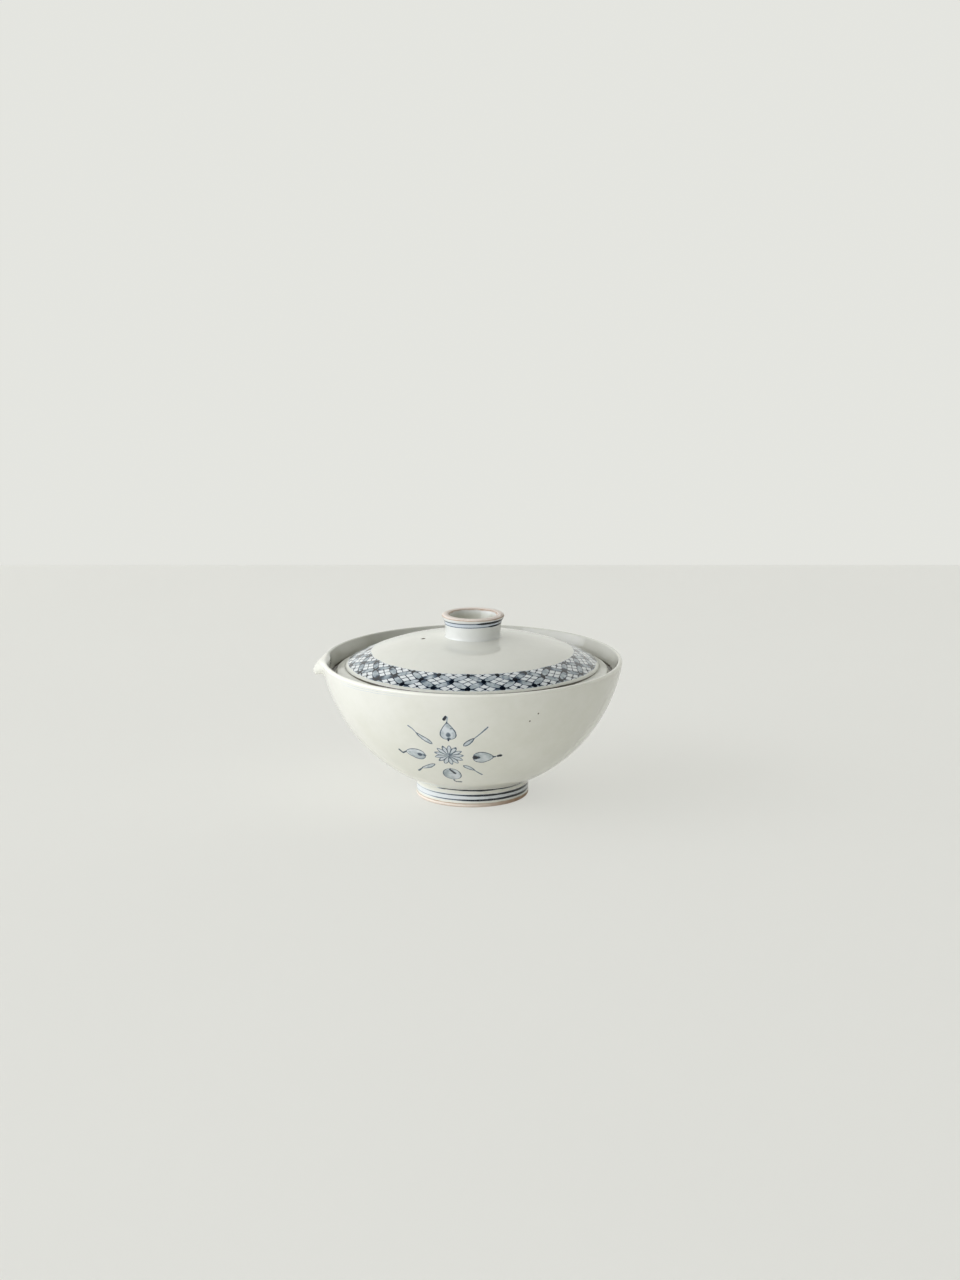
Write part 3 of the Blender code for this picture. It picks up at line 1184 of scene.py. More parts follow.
@dataclass(frozen=True)
class FootFinish(GlazedFinish):
    """The foot ring's glaze with two brushed lines and the bare edge that it stands on."""

    name: str = "porcelain_foot_with_lines"
    joint: JointLine = JointLine()
    line_heights: tuple[float, ...] = (4.95, 3.0)
    line_half_width: float = 0.30
    line_sway: float = 0.10
    breath: float = 0.016  # ink of the bluish water between the lines
    breath_edge: Point = (-0.9, 0.1)
    least_load: float = 0.20
    swell: float = 1.3
    swells: Point = (-70.0, 45.0)
    fades: Point = (95.0, 180.0)
    outside_radius: Point = (20.3, 20.6)
    glaze_end: float = 1.65
    # where the painted shade on the bare clay grows towards the right and fades behind
    side_shade_grows: Point = (-15.0, 55.0)
    side_shade_fades: Point = (100.0, 150.0)

    def ink(self, at: Surface) -> Field:
        """The ink of the lines, with a breath of blue between them.

        Args:
            at: The surface.

        Returns:
            The ink.
        """
        high, low = self.line_heights
        load = at.angle.rise(*self.swells) * at.angle.fall(*self.fades) * self.swell + self.least_load
        between = (at.height - low).rise(*self.breath_edge) * (high - at.height).rise(*self.breath_edge)
        ink = between * self.breath
        for height in self.line_heights:
            ink = ink.most(drawn(at, at.height - height, self.line_half_width, self.line_sway, load))
        return ink.most(self.joint.ink(at)) * at.radius.rise(*self.outside_radius)

    def bare_depth(self, at: Surface) -> Field:
        """Depth below the end of the glaze."""
        return self.glaze_end - at.height

    def scorch(self, at: Surface) -> Field:
        """Painted shade on the bare clay, which grows towards the right of the front and fades behind."""
        return at.angle.rise(*self.side_shade_grows) * at.angle.fall(*self.side_shade_fades)


@dataclass(frozen=True)
class LidFinish(GlazedFinish):
    """The lid's glaze with the net painted round its shoulder."""

    name: str = "porcelain_lid_with_net"
    white: Colour = (0.785, 0.79, 0.715)
    net_white: Colour = (0.79, 0.825, 0.82)
    underside: Point = (1.8, 2.1)  # depth under the dome's top between which the net ends
    # where the painted shade along the fold lies, how far it reaches and how it narrows towards the sides
    crease_place: Point = (50.5, 52.75)
    crease_shade_reach: Point = (0.30, 0.55)
    crease_shade_ends: Point = (45.0, 80.0)
    crease_shade_draws_in: float = 0.35  # how far the painted shade has drawn in at its ends
    vent_place: Point = (-19.35, -1.35)  # across and along from the axis
    vent_edge: Point = (0.95, 1.01)
    vent_depth: Point = (0.06, 0.14)

    def specks_and_shade(self, at: Surface) -> Field:
        """The vent's dark inside, which is painted shade.

        Args:
            at: The surface.

        Returns:
            A mask of it.
        """
        across, along, _ = at.place.parts()
        off = length(across - self.vent_place[0], along - self.vent_place[1])
        return off.fall(*self.vent_edge) * self.depth(at).rise(*self.vent_depth)

    def depth(self, at: Surface) -> Field:
        """How far a point lies under the top of the dome.

        Args:
            at: The surface.

        Returns:
            The depth.
        """
        share = at.radius / LID_TOP.half_width
        top = (1.0 - share * share).most(0.0).root() * LID_TOP.half_height + LID_TOP.level
        return top - at.height

    def crease(self, at: Surface) -> Field:
        """Distance from the fold over the brim, where painted shade lies, strongest at the front."""
        away = abs(at.angle).rise(*self.crease_shade_ends) * self.crease_shade_draws_in
        return length(at.radius - self.crease_place[0], at.height - self.crease_place[1]) + away

    def net(self, at: Surface, value: str) -> Field:
        """One of the net's values, on the lid's upper side alone."""
        net = NET.place(at.tree, Angle=at.angle, Radius=at.radius, Place=at.place)
        return net[value] * self.depth(at).fall(*self.underside)

    def toned(self, at: Surface, glaze: Field) -> Field:
        """The glaze with the clear white of the net's flowers."""
        return blend(self.net(at, "White"), glaze, self.net_white)

    def ink(self, at: Surface) -> Field:
        """The net's ink."""
        return self.net(at, "Ink")


@dataclass(frozen=True)
class KnobFinish(GlazedFinish):
    """The knob's glaze with two brushed lines under its bare lip."""

    name: str = "porcelain_knob_with_lines"
    white: Colour = (0.77, 0.785, 0.75)
    cloudy: Colour = (0.72, 0.735, 0.70)
    line_heights: tuple[float, ...] = (71.5, 69.95)
    line_half_widths: tuple[float, ...] = (0.29, 0.22)
    line_sway: float = 0.10
    lean: float = 0.022  # how far the lines climb to the right
    breath: float = 0.040  # ink of the bluish water between the lines
    breath_edge: Point = (-0.4, 0.2)
    least_load: float = 0.58
    loaded_from: tuple[Point, ...] = ((6.0, 20.0), (30.0, 44.0))
    fades: Point = (95.0, 180.0)
    outside_radius: Point = (9.8, 10.0)
    bare_from: float = 9.45
    bare_to: float = 12.8
    glaze_end: float = 72.75
    hollow_shade: Colour = (0.79, 0.78, 0.70)  # painted shade in the hollow
    hollow_shade_within: Point = (9.2, 9.6)
    hollow_shade_under: Point = (70.5, 73.0)

    def radius(self, at: Surface) -> Field:
        """Distance from the knob's own axis."""
        across, along, _ = at.place.parts()
        return length(across - KNOB_OFF_AXIS, along)

    def ink(self, at: Surface) -> Field:
        """The ink of both lines, with a breath of blue between them.

        Args:
            at: The surface.

        Returns:
            The ink.
        """
        across, _, height = at.place.parts()
        height = height - across * self.lean
        high, low = self.line_heights
        ink = (height - low).rise(*self.breath_edge) * (high - height).rise(*self.breath_edge) * self.breath
        for level, half_width, loaded in zip(self.line_heights, self.line_half_widths, self.loaded_from):
            load = at.angle.rise(*loaded) * at.angle.fall(*self.fades) + self.least_load
            ink = ink.most(drawn(at, height - level, half_width, self.line_sway, load))
        return ink * self.radius(at).rise(*self.outside_radius)

    def toned(self, at: Surface, glaze: Field) -> Field:
        """The glaze with painted shade in the hollow."""
        # painted shade in the hollow
        painted_hollow_shade = self.radius(at).fall(*self.hollow_shade_within) * at.height.fall(*self.hollow_shade_under)
        return glaze.tinted(painted_hollow_shade, self.hollow_shade)

    def bare_depth(self, at: Surface) -> Field:
        """Depth inside the ring of bare clay on the lip's top."""
        radius = self.radius(at)
        return (radius - self.bare_from).least(self.bare_to - radius).least(at.height - self.glaze_end)


@dataclass(frozen=True)
class StudioFinish:
    """The matt paint of the floor and the wall, which is seen a share brighter than it is lit."""

    name: str
    pale: Colour
    seen: Colour
    seen_share: float
    cloud: float = 0.965
    roughness: float = 0.85
    shine: float = 0.2

    def material(self) -> Material:
        """Builds the material, which lets a view from behind the wall through.

        Returns:
            The new material.
        """
        material = bpy.data.materials.new(self.name)
        material.use_nodes = True
        tree = material.node_tree
        shader = tree.nodes["Principled BSDF"]
        place = source(tree, "ShaderNodeTexCoord", "Object")
        cloudy = tuple(share * self.cloud for share in self.pale)
        blend(place.noise(3.0, 4.0).rise(0.35, 0.65), self.pale, cloudy).plug(shader.inputs["Base Color"])
        shader.inputs["Roughness"].default_value = self.roughness
        shader.inputs["Specular IOR Level"].default_value = self.shine
        bright = tree.nodes.new("ShaderNodeEmission")
        bright.inputs["Color"].default_value = (*self.seen, 1.0)
        path = tree.nodes.new("ShaderNodeLightPath")
        camera, glossy, through = (
            Field(tree, path.outputs[f"Is {kind} Ray"]) for kind in ("Camera", "Glossy", "Transmission")
        )
        mirrored = self.mirrored(place)
        if mirrored is not None:
            (1.0 + glossy * (mirrored - 1.0)).plug(bright.inputs["Strength"])
        looked_at = (camera + glossy + through).least(1.0) * self.seen_share
        behind = source(tree, "ShaderNodeNewGeometry", "Backfacing")
        painted = self.mixed(looked_at, shader, bright)
        either = self.mixed(behind, painted, tree.nodes.new("ShaderNodeBsdfTransparent"))
        tree.links.new(either.outputs[0], tree.nodes["Material Output"].inputs["Surface"])
        return material

    def mirrored(self, place: Field) -> Field | None:
        """How bright glossy surfaces see a spot, against the camera, or None where they see the same."""
        return None

    @staticmethod
    def mixed(factor: Field, first: Node, second: Node) -> Node:
        """Mixes two shaders.

        Args:
            factor: Share of the second shader.
            first: Node of the shader at 0.
            second: Node of the shader at 1.

        Returns:
            The node of the mix.
        """
        node = factor.tree.nodes.new("ShaderNodeMixShader")
        factor.plug(node.inputs[0])
        factor.tree.links.new(first.outputs[0], node.inputs[1])
        factor.tree.links.new(second.outputs[0], node.inputs[2])
        return node


@dataclass(frozen=True)
class WallFinish(StudioFinish):
    """The wall's paint, which glossy surfaces see bright over the camera's view and dark near the ceiling."""

    bright_from: Point = (0.02, 0.14)
    bright_to: Point = (0.55, 1.0)
    brighter: float = 0.28

    def mirrored(self, place: Field) -> Field:
        """How bright glossy surfaces see a spot."""
        _, _, height = place.parts()
        return (height.rise(*self.bright_from) * self.brighter + 1.0) * height.fall(*self.bright_to)


# Shapes


@dataclass(frozen=True)
class Dome:
    """Half an ellipse about the turning axis, standing over its upright level or hanging below it."""

    half_width: float
    half_height: float
    level: float
    side: Side

    def height(self, radius: float) -> float:
        """Height at a radius."""
        rise = self.half_height * math.sqrt(1.0 - (radius / self.half_width) ** 2)
        return self.level + self.side.value * rise

    def radius(self, height: float) -> float:
        """Radius at a height."""
        return self.half_width * math.sqrt(1.0 - ((height - self.level) / self.half_height) ** 2)

    def run(self, start: float, end: float, count: int = 40) -> list[Point]:
        """Points from one radius to another.

        Args:
            start: First radius.
            end: Last radius.
            count: How many points.

        Returns:
            Radius and height of each point.
        """
        angles = np.linspace(math.asin(start / self.half_width), math.asin(end / self.half_width), count)
        return [(r, self.height(r)) for r in self.half_width * np.sin(angles)]


OUTSIDE = Dome(60.712, 63.2, 65.7, Side.HANGING)
INSIDE = Dome(57.112, 56.5, 65.7, Side.HANGING)
LID_TOP = Dome(60.154, 25.494, 39.406, Side.STANDING)


def arc(centre: Point, radius: float, start: float, end: float, count: int) -> list[Point]:
    """Points on an arc, with angles in degrees from the outward direction."""
    angles = np.radians(np.linspace(start, end, count))
    return [(centre[0] + radius * math.cos(a), centre[1] + radius * math.sin(a)) for a in angles]


def all_round(count: int) -> np.ndarray:
    """Evenly spread turns about the axis."""
    return np.linspace(0.0, FULL_TURN, count, endpoint=False)


def along_path(path: np.ndarray) -> np.ndarray:
    """Distance run at each point of a path."""
    steps = np.linalg.norm(np.diff(path[:, :2], axis=0), axis=1)
    return np.concatenate(([0.0], np.cumsum(steps)))


def resampled(path: np.ndarray, count: int) -> np.ndarray:
    """Spreads points evenly along a path.

    Args:
        path: The points of the path.
        count: How many points it gets.

    Returns:
        The new points.
    """
    run = along_path(path)
    wanted = np.linspace(0.0, run[-1], count)
    return np.stack([np.interp(wanted, run, path[:, i]) for i in range(path.shape[1])], axis=1)


def curved(points: list[Point], per_span: int = 16) -> np.ndarray:
    """A smooth curve through the points.

    Args:
        points: The points in order.
        per_span: How many steps go between two of them.

    Returns:
        The points of the curve.
    """
    p = np.array(points, float)
    p = np.vstack([2 * p[0] - p[1], p, 2 * p[-1] - p[-2]])
    made = []
    for a, b, c, d in zip(p, p[1:], p[2:], p[3:]):
        first, second, third = c - a, 2 * a - 5 * b + 4 * c - d, 3 * b - a - 3 * c + d
        for t in np.arange(per_span) / per_span:
            made.append(0.5 * (2 * b + first * t + second * t**2 + third * t**3))
    made.append(p[-2])
    return np.array(made)


def thin(path: np.ndarray, most_turn: float = 5.0, most_step: float = 1.5) -> np.ndarray:
    """Keeps the points of a path that its bends need.

    Args:
        path: The points of the path.
        most_turn: Largest bend between two kept points, in degrees.
        most_step: Longest way between two of them.

    Returns:
        The kept points.
    """
    heading = np.unwrap(np.arctan2(*np.diff(path, axis=0).T[::-1]))
    run = along_path(path)
    kept, last_heading, last_run = [0], heading[0], 0.0
    for i in range(1, len(path) - 1):
        if abs(heading[i] - last_heading) > math.radians(most_turn) or run[i] - last_run > most_step:
            kept.append(i)
            last_heading, last_run = heading[i], run[i]
    return path[[*kept, len(path) - 1]]


@dataclass
class Section:
    """A cut through a turned piece, in millimetres, whose corners are rounded as glaze rounds them."""

    closed: bool = False
    points: list[Place] = field(default_factory=list)
    step: float = 0.1
    evened: float = 0.4  # how far one pass moves the softest points towards their neighbours

    def add(self, points: list[Point], softness: float) -> None:
        """Adds points, whose corners are rounded as far as the softness says."""
        self.points += [(*p, softness) for p in points]

    def dense(self) -> np.ndarray:
        """Rounds the section.

        Returns:
            Radius and height of points a step apart.
        """
        path = np.array(self.points + self.points[:1] if self.closed else self.points)
        path = resampled(path, max(8, round(along_path(path)[-1] / self.step)))
        softness, place = path[:, 2], path[:, :2]
        largest = softness.max()
        share = self.evened * (softness / largest)[:, None] ** 2
        mirror = (-1.0, 1.0)
        for _ in range(math.ceil((largest / self.step) ** 2 / (2.0 * self.evened))):
            if self.closed:
                loop = place[:-1]
                loop = loop + share[:-1] * (np.roll(loop, 1, axis=0) + np.roll(loop, -1, axis=0) - 2 * loop)
                place = np.vstack([loop, loop[:1]])
            else:
                before = np.vstack([place[1] * mirror, place[:-1]])
                after = np.vstack([place[1:], place[-2] * mirror])
                place = place + share * (before + after - 2 * place)
        return place


def turned(section: np.ndarray, angles: np.ndarray) -> np.ndarray:
    """Rows of points from turning a section.

    Args:
        section: Radius and height of each row.
        angles: The turn of each column, from +X.

    Returns:
        Points about the turning axis, by row and column.
    """
    radius, height = section[:, 0, None], section[:, 1, None]
    flat = np.broadcast_to(height, (len(section), len(angles)))
    return np.stack([radius * np.cos(angles), radius * np.sin(angles), flat], axis=2)


def skinned(name: str, rows: np.ndarray, closed: bool = False) -> Piece:
    """Makes a closed skin over rows of points.

    Args:
        name: Name of the piece.
        rows: Points about the turning axis in millimetres, by row and column.
        closed: Whether the last row joins the first, as on a ring. Otherwise both end on the axis.

    Returns:
        The new object, in the frame of the solids.
    """
    count = rows.shape[1]
    points = (rows[:-1] if closed else rows[1:-1]).reshape(-1, 3)
    ring_count = len(points) // count
    faces = []
    for i in range(ring_count if closed else ring_count - 1):
        low, high = i * count, (i + 1) % ring_count * count
        for j in range(count):
            k = (j + 1) % count
            faces.append((low + j, low + k, high + k, high + j))
    points = [tuple(p) for p in points]
    if not closed:
        first, last = len(points), len(points) + 1
        points += [tuple(rows[0, 0]), tuple(rows[-1, 0])]
        end = (ring_count - 1) * count
        faces += [(first, (j + 1) % count, j) for j in range(count)]
        faces += [(last, end + j, end + (j + 1) % count) for j in range(count)]
    mesh = bpy.data.meshes.new(name)
    mesh.from_pydata([((x + AXIS_X) * MM, y * MM, z * MM) for x, y, z in points], [], faces)
    bm = bmesh.new()
    bm.from_mesh(mesh)
    bmesh.ops.recalc_face_normals(bm, faces=bm.faces)
    bm.to_mesh(mesh)
    bm.free()
    mesh.shade_smooth()
    piece = bpy.data.objects.new(name, mesh)
    bpy.context.scene.collection.objects.link(piece)
    return piece


def dress(piece: Piece, finish: GlazedFinish, body: str, slot: Slot, *nodes: str) -> Piece:
    """Gives a piece its finish and its place in the frame.

    Args:
        piece: The piece.
        finish: Its finish.
        body: The body of the solids that it rides on.
        slot: The record's material slot; not used.
        nodes: The solids that it stands for.

    Returns:
        The piece itself.
    """
    piece.data.materials.append(finish.material())
    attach(piece, body)
    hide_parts(*nodes)
    LOG.info("%s rides on %s for %s", piece.name, body, ", ".join(nodes))
    return piece


# Wares


@dataclass
class Bowl:
    """The bowl, whose rim is drawn out on one side into the pouring lip."""

    rim_top: float = 55.4
    rim_round: float = 0.6  # rounding on the inside of the crest
    rim_shoulder: float = 1.1  # rounding on its outside
    rim_inner: Point = (57.7, 54.3)  # where the inner wall meets the crest
    rim_outer: float = 59.6
    rim_lift: float = 0.2  # how much higher than level the rim lies on average
    rim_tilt: float = 0.5  # how much higher still it lies at the back, and lower at the front
    seat_height: float = 49.0
    seat_radius: float = 55.9
    ledge_radius: float = 51.854
    ledge_edge: float = 1.4
    ledge_runout: float = 2.8
    recess: float = 5.0
    lip_angle: float = math.pi
    lip_from: float = 51.2  # height on the inside from which the lip is drawn out
    lip_to: float = 43.5  # height on the outside where it has run out
    lip_shoulder: float = 51.6  # height of the wall that is drawn out to the tip
    over_half_angle: float = math.radians(8.8)
    under_half_angle: float = math.radians(5.0)
    narrows: Point = (-8.0, 6.0)  # rows from the tip between which the lip narrows
    flank_end: float = 1.25  # in shares of the half angle
    flank_width: float = 1.19
    trough: float = 0.25
    lip_top: tuple[Point, ...] = ((56.45, 54.5), (56.7, 55.1), (57.9, 55.3))
    lip_over: tuple[Point, ...] = (
        (57.9, 55.3),
        (59.3, 55.15),
        (60.7, 54.65),
        (62.0, 53.55),
        (62.85, 52.1),
        (63.2, 50.7),
        (63.1, 49.6),
    )
    lip_under: tuple[Point, ...] = (
        (63.1, 49.6),
        (62.75, 48.95),
        (62.3, 48.8),
        (61.85, 49.2),
        (61.2, 49.6),
        (60.2, 49.75),
        (59.4, 49.45),
        (58.8, 48.7),
        (58.4, 47.4),
    )
    wall_columns: int = 240
    lip_columns: int = 80
    lip_spread: float = math.radians(13.0)
    rim_counts: tuple[int, int, int] = (22, 26, 34)

    @property
    def tip(self) -> int:
        """Row of the rim that becomes the lip's tip."""
        return sum(self.rim_counts[:2]) - 2

    def section(self) -> np.ndarray:
        """The dense section away from the lip.

        Returns:
            Radius and height of points from the inside of the floor to the middle of the underside.
        """
        side_start = INSIDE.radius(self.seat_height - self.ledge_edge - self.ledge_runout)
        crest = self.rim_outer - self.rim_shoulder
        made = Section()
        made.add(INSIDE.run(0.0, side_start), 0.9)
        made.add([(self.ledge_radius, self.seat_height - self.ledge_edge)], 0.6)
        made.add([(self.ledge_radius, self.seat_height), (self.seat_radius, self.seat_height)], 0.28)
        made.add([self.rim_inner], 0.4)
        made.add(arc((crest, self.rim_top - self.rim_round), self.rim_round, 160.0, 90.0, 10), 0.2)
        made.add(arc((crest, self.rim_top - self.rim_shoulder), self.rim_shoulder, 84.0, 0.0, 16), 0.2)
        made.add(OUTSIDE.run(self.rim_outer - 0.05, OUTSIDE.radius(self.recess), 60)[1:], 0.22)
        made.add([(0.0, self.recess)], 0.22)
        return made.dense()

    def columns(self) -> np.ndarray:
        """The turn of each column, close together at the lip.

        Returns:
            The turns from +X.
        """
        near = np.linspace(-self.lip_spread, self.lip_spread, self.lip_columns)
        far = np.linspace(self.lip_spread, FULL_TURN - self.lip_spread, self.wall_columns)[1:-1]
        return self.lip_angle + np.concatenate((near, far))

    def rim_parts(self, path: np.ndarray) -> tuple[np.ndarray, np.ndarray, np.ndarray]:
        """Cuts the section apart.

        Args:
            path: The dense section.

        Returns:
            The inside, the rim in counted points, and the outside.
        """
        crest = int(np.argmax(path[:, 1]))
        inner = int(np.argmax(path[:crest, 1] > self.lip_from))
        shoulder = crest + int(np.argmax(path[crest:, 1] < self.lip_shoulder))
        outer = crest + int(np.argmax(path[crest:, 1] < self.lip_to))
        spans = ((inner, crest), (crest, shoulder), (shoulder, outer))
        rim = [resampled(path[a : b + 1], n)[1:] for (a, b), n in zip(spans, self.rim_counts)]
        return thin(path[: inner + 1]), np.vstack(rim), thin(path[outer:])[1:]

    def lip_path(self, rim: np.ndarray, start: np.ndarray) -> np.ndarray:
        """The rim's points at the middle of the lip.

        Args:
            rim: The rim's points away from the lip.
            start: The point of the inside before them.

        Returns:
            As many points as the rim has.
        """
        top = curved([tuple(start), *self.lip_top])
        under = curved([*self.lip_under, tuple(rim[-1])])
        spans = (top, curved(list(self.lip_over)), under)
        return np.vstack([resampled(span, n)[1:] for span, n in zip(spans, self.rim_counts)])

    def lip_share(self, angles: np.ndarray, count: int) -> np.ndarray:
        """How far the rim's points lie from the lip's middle.

        Args:
            angles: The turn of each column.
            count: How many rows the rim has.

        Returns:
            Shares of the lip's half angle, by row and column.
        """
        away = np.abs((angles - self.lip_angle + math.pi) % FULL_TURN - math.pi)
        start, end = self.narrows
        under = np.clip((np.arange(count) - self.tip - start) / (end - start), 0.0, 1.0)
        half_angle = self.over_half_angle + (self.under_half_angle - self.over_half_angle) * under
        return away[None, :] / half_angle[:, None]

    def trough_rise(self, share: np.ndarray) -> np.ndarray:
        """How much higher than its middle the lip's upper side lies.

        Args:
            share: Shares of the lip's half angle, by row and column.

        Returns:
            The rise, by row and column.
        """
        first = self.rim_counts[0]
        upper = np.zeros(len(share))
        upper[:first] = np.linspace(0.0, 1.0, first) ** 2
        upper[first : self.tip + 1] = np.linspace(1.0, 0.0, self.tip + 1 - first)
        return self.trough * upper[:, None] * np.clip(share, 0.0, 1.0) ** 2

    def rows(self) -> np.ndarray:
        """All points of the bowl.

        Returns:
            Points about the turning axis, by row and column.
        """
        inside, rim, outside = self.rim_parts(self.section())
        angles = self.columns()
        made = turned(np.vstack([inside, rim, outside]), angles)
        share = self.lip_share(angles, len(rim))
        ease = np.clip((self.flank_end - share) / self.flank_width, 0.0, 1.0)
        weight = ease * ease * (3.0 - 2.0 * ease)
        out, up = (self.lip_path(rim, inside[-1]) - rim).T
        radius = rim[:, 0, None] + weight * out[:, None]
        height = rim[:, 1, None] + weight * (up[:, None] + self.trough_rise(share))
        drawn_out = np.stack([radius * np.cos(angles), radius * np.sin(angles), height], axis=2)
        made[len(inside) : len(inside) + len(rim)] = drawn_out
        high = np.clip((made[:, :, 2] - self.seat_height) / (self.rim_top - self.seat_height), 0.0, 1.0)
        uneven = (self.rim_lift + self.rim_tilt * np.sin(angles)) * (1.0 - weight.max(axis=0))
        made[:, :, 2] += high**2 * uneven
        return made

    def build(self) -> Piece:
        """Makes and dresses the bowl."""
        piece = skinned("pouring_bowl", self.rows())
        return dress(piece, BowlFinish(), "bowl", Slot.BOWL, "bowl_body", "pouring_lip")


@dataclass
class FootRing:
    """The foot ring, which runs into the bowl in a soft hollow."""

    radius: float = 22.5
    inner_radius: float = 18.3
    edge: float = 0.9
    recess: float = 5.0
    flare: float = 1.3
    columns: int = 192

    def section(self) -> np.ndarray:
        """The closed section, whose upper side lies hidden in the bowl.

        Returns:
            Radius and height of each point.
        """
        outer, inner, edge = self.radius, self.inner_radius, self.edge
        start = outer + self.flare
        made = Section(closed=True)
        made.add([(start, OUTSIDE.height(start) + 0.7)], 0.1)
        made.add([(outer + 0.3, OUTSIDE.height(outer) - 0.3)], 0.35)
        made.add([(outer, OUTSIDE.height(outer) - 1.3)], 0.4)
        made.add([(outer, 3.0)], 0.3)
        made.add(arc((outer - edge, edge), edge, 0.0, -90.0, 12), 0.12)
        made.add(arc((inner + edge, edge), edge, -90.0, -180.0, 12), 0.12)
        made.add([(inner, self.recess - 0.1)], 0.6)
        made.add([(inner - 1.2, self.recess + 0.08), (inner + 0.4, self.recess + 1.2)], 0.2)
        made.add([(outer - 0.6, OUTSIDE.height(outer - 0.6) + 1.0)], 0.2)
        return thin(made.dense(), 6.0, 1.2)

    def build(self) -> Piece:
        """Makes and dresses the foot ring."""
        piece = skinned("standing_foot", turned(self.section(), all_round(self.columns)), closed=True)
        return dress(piece, FootFinish(), "bowl", Slot.FOOT, "foot_ring")


@dataclass
class Lid:
    """The domed lid with its brim and its vent."""

    radius: float = 53.9
    bottom: float = 49.3
    brim_top: float = 51.4
    brim_edge: float = 0.6
    fold_radius: float = 50.2
    step: tuple[Point, ...] = ((50.45, 52.95), (50.6, 52.3), (50.95, 52.0))
    wall: float = 3.5
    vent_radius: float = 0.9
    vent_flare: float = 0.16
    vent_from_axis: float = 19.4
    vent_angle: float = math.radians(184.0)
    vent_columns: int = 32
    sharp_from: float = math.radians(38.0)
    columns: int = 256

    def section(self) -> np.ndarray:
        """The section from the crown over the brim to the middle of the underside.

        Returns:
            Radius and height of each point.
        """
        underside = Dome(LID_TOP.half_width, LID_TOP.half_height, LID_TOP.level - self.wall, Side.STANDING)
        end, edge = self.radius - self.brim_edge, self.brim_edge
        made = Section()
        made.add(LID_TOP.run(0.0, self.fold_radius), 0.14)
        made.add(list(self.step), 0.12)
        made.add([(end - 0.4, self.brim_top + 0.05)], 0.25)
        made.add(arc((end, self.brim_top - edge), edge, 90.0, 0.0, 10), 0.15)
        made.add(arc((end, self.bottom + edge), edge, 0.0, -90.0, 10), 0.15)
        made.add(underside.run(underside.radius(self.bottom), 0.0), 0.4)
        return thin(made.dense())

    def drill(self) -> Piece:
        """The vent's shape, which flares at both ends.

        Returns:
            The object to cut with.
        """
        top = LID_TOP.height(self.vent_from_axis)
        low = top - self.wall
        radius, flare = self.vent_radius, self.vent_flare
        outline = [
            (0.0, top + 2.0),
            (radius + 2.5 * flare, top + 2.0),
            (radius + flare, top + 0.12),
            (radius + 0.35 * flare, top - 0.18),
            (radius, top - 0.6),
            (radius, low + 0.6),
            (radius + flare, low - 0.12),
            (radius + 2.5 * flare, low - 2.0),
            (0.0, low - 2.0),
        ]
        rows = turned(np.array(outline), all_round(self.vent_columns))
        rows += self.vent_from_axis * np.array((math.cos(self.vent_angle), math.sin(self.vent_angle), 0.0))
        return skinned("vent_drill", rows)

    def build(self) -> Piece:
        """Makes the lid, drills its vent and dresses it.

        Returns:
            The lid.
        """
        piece = skinned("domed_lid", turned(self.section(), all_round(self.columns)))
        drill = self.drill()
        cut = piece.modifiers.new("vent", "BOOLEAN")
        cut.operation = "DIFFERENCE"
        cut.solver = "EXACT"
        cut.object = drill
        graph = bpy.context.evaluated_depsgraph_get()
        with_vent = bpy.data.meshes.new_from_object(piece.evaluated_get(graph))
        piece.modifiers.remove(cut)
        piece.data = with_vent
        with_vent.name = piece.name
        with_vent.shade_smooth()
        with_vent.set_sharp_from_angle(angle=self.sharp_from)
        bpy.data.objects.remove(drill)
        return dress(piece, LidFinish(), "lid", Slot.LID, "lid_dome")


@dataclass
class RingKnob:
    """The hollow ring knob, narrow at its waist, whose flat lip leans out over it."""

    radius: float = 12.42
    waist: float = 10.98
    rise: float = 8.6
    lip_wall: float = 3.2
    hollow: float = 8.0
    fillet: float = 0.7
    columns: int = 160

    def section(self) -> np.ndarray:
        """The closed section, whose lower side lies hidden in the lid.

        Returns:
            Radius and height of each point.
        """
        top = LID_TOP.height(0.0) + self.rise
        outer, waist, hollow = self.radius, self.waist, self.hollow
        inner = outer - self.lip_wall
        foot = waist + self.fillet
        made = Section(closed=True)
        made.add([(hollow, LID_TOP.height(hollow) + 0.5)], 0.5)
        made.add([(hollow + 0.25, top - 4.5), (inner, top - 1.4)], 0.5)
        made.add([(inner + 0.1, top - 0.6), (inner + 0.55, top - 0.1), (inner + 1.1, top)], 0.22)
        made.add([(outer - 1.0, top), (outer - 0.4, top - 0.22), (outer - 0.04, top - 0.75)], 0.22)
        made.add([(outer, top - 1.2), (outer - 0.35, top - 1.75)], 0.3)
        made.add([(outer - 0.78, top - 2.4), (outer - 1.08, top - 3.2), (outer - 1.32, top - 4.2)], 0.4)
        made.add([(waist + 0.05, top - 5.4), (waist, top - 6.8)], 0.5)
        made.add([(waist + 0.02, LID_TOP.height(waist) + 0.3)], 0.32)
        made.add([(foot, LID_TOP.height(foot) - 0.35)], 0.1)
        made.add([(hollow - 0.5, LID_TOP.height(hollow) - 0.9)], 0.1)
        return thin(made.dense(), 5.0, 0.8)

    def build(self) -> Piece:
        """Makes and dresses the knob.

        Returns:
            The knob.
        """
        rows = turned(self.section(), all_round(self.columns)) + (KNOB_OFF_AXIS, 0.0, 0.0)
        piece = skinned("ring_knob", rows, closed=True)
        return dress(piece, KnobFinish(), "lid", Slot.KNOB, "knob_ring")


# Studio


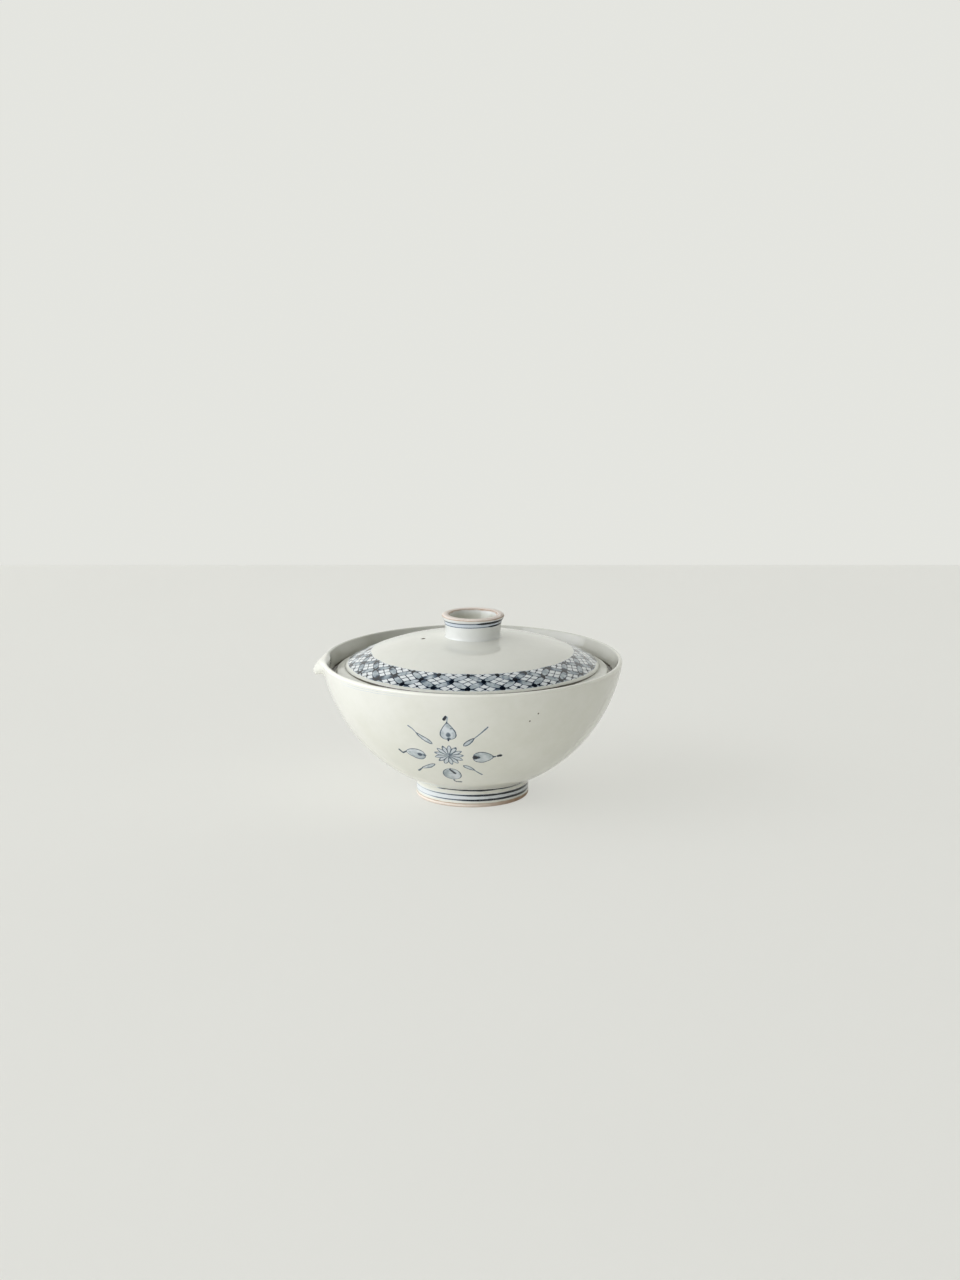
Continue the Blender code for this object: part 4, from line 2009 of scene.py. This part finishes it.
@dataclass(frozen=True)
class Lamp:
    """A broad soft light that faces the object."""

    name: str
    place: Place
    size: Point
    power: float
    colour: Colour
    aim: Place = (0.0, 0.0, 0.03)
    shine: float = 0.4  # how strongly it mirrors

    def build(self) -> None:
        """Makes the lamp."""
        light = bpy.data.lights.new(self.name, "AREA")
        light.shape = "RECTANGLE"
        light.size, light.size_y = self.size
        light.energy = self.power
        light.color = self.colour
        light.specular_factor = self.shine
        lamp = bpy.data.objects.new(self.name, light)
        lamp.location = self.place
        lamp.rotation_euler = (Vector(self.aim) - lamp.location).to_track_quat("-Z", "Y").to_euler()
        bpy.context.scene.collection.objects.link(lamp)


@dataclass(frozen=True)
class Glow:
    """A share of the air's light that comes softly from one side."""

    heading: Place
    strength: float


@dataclass
class Studio:
    """A pale floor and wall, window light from the left, and the camera."""

    camera_place: Place = (0.0048, -0.92875, 0.2738)
    look_down: float = math.radians(12.81)
    lens: float = 67.5
    film: float = 36.0
    wall_behind: float = 0.477
    half_width: float = 4.0
    wall_height: float = 3.0
    floor_colour: Colour = (0.95, 0.945, 0.885)
    floor_seen: Colour = (0.755, 0.757, 0.715)
    floor_seen_share: float = 0.7
    wall_colour: Colour = (0.86, 0.86, 0.83)
    wall_seen: Colour = (0.78, 0.785, 0.745)
    air_seen: float = 0.76
    air_strength: float = 0.03
    air_colour: Colour = (1.0, 1.0, 0.975)
    window_colour: Colour = (0.985, 1.0, 1.055)
    window_spread: Point = (0.0, 0.8)
    window_glow: Glow = Glow((-1.0, 0.0, 0.0), 1.85)
    front_glow: Glow = Glow((0.0, -1.0, 0.0), 1.05)
    window_place: Place = (-1.7, -0.45, 0.75)
    window_size: Point = (2.2, 1.5)
    window_power: float = 18.5

    def sheet(self, name: str, near: Point, far: Point, finish: StudioFinish) -> None:
        """Adds a flat sheet of the studio, which isn't part of the object.

        Args:
            name: Its name.
            near: Distance back and height of its first long edge.
            far: Distance back and height of the other one.
            finish: Its paint.
        """
        wide = self.half_width
        mesh = bpy.data.meshes.new(name)
        mesh.from_pydata([(-wide, *near), (wide, *near), (wide, *far), (-wide, *far)], [], [(0, 1, 2, 3)])
        piece = bpy.data.objects.new(name, mesh)
        piece.data.materials.append(finish.material())
        bpy.context.scene.collection.objects.link(piece)

    def light_air(self) -> None:
        """Fills the studio with soft light, more from some sides, and shows the camera an even pale air."""
        world = bpy.data.worlds.new("studio_air")
        bpy.context.scene.world = world
        world.use_nodes = True
        tree = world.node_tree
        air = tree.nodes["Background"]
        heading = source(tree, "ShaderNodeTexCoord", "Generated")
        seen = source(tree, "ShaderNodeLightPath", "Is Camera Ray")
        from_window = heading.vector("DOT_PRODUCT", self.window_glow.heading)
        strength = from_window * 0.0 + self.air_strength
        for glow in (self.window_glow, self.front_glow):
            facing = heading.vector("DOT_PRODUCT", glow.heading).most(0.0)
            strength = strength + facing * facing * glow.strength
        (strength * (1.0 - seen) + seen * self.air_seen).plug(air.inputs["Strength"])
        cool = from_window.rise(*self.window_spread) * (1.0 - seen)
        blend(cool, self.air_colour, self.window_colour).plug(air.inputs["Color"])

    def build(self) -> None:
        """Makes the floor, the wall, the lights and the camera."""
        scene = bpy.context.scene
        scene.view_settings.view_transform = "Standard"
        back = self.wall_behind
        floor = StudioFinish("studio_floor", self.floor_colour, self.floor_seen, self.floor_seen_share)
        wall = WallFinish("studio_wall", self.wall_colour, self.wall_seen, 1.0)
        self.sheet("floor", (-self.half_width, 0.0), (back, 0.0), floor)
        self.sheet("wall", (back, 0.0), (back, self.wall_height), wall)
        self.light_air()
        Lamp("window", self.window_place, self.window_size, self.window_power, self.window_colour).build()
        view = bpy.data.cameras.new("camera")
        view.lens = self.lens
        view.sensor_width = self.film
        camera = bpy.data.objects.new("camera", view)
        camera.location = self.camera_place
        camera.rotation_euler = (math.pi / 2.0 - self.look_down, 0.0, 0.0)
        scene.collection.objects.link(camera)
        scene.camera = camera
        LOG.info("studio is lit")


def main() -> None:
    """Builds the wares in order and the studio round them."""
    logging.basicConfig(level=logging.INFO, format="%(message)s")
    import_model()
    for ware in (Bowl(), FootRing(), Lid(), RingKnob()):
        piece = ware.build()
        LOG.info("%s has %d faces", piece.name, len(piece.data.polygons))
    Studio().build()


if __name__ == "__main__":
    main()
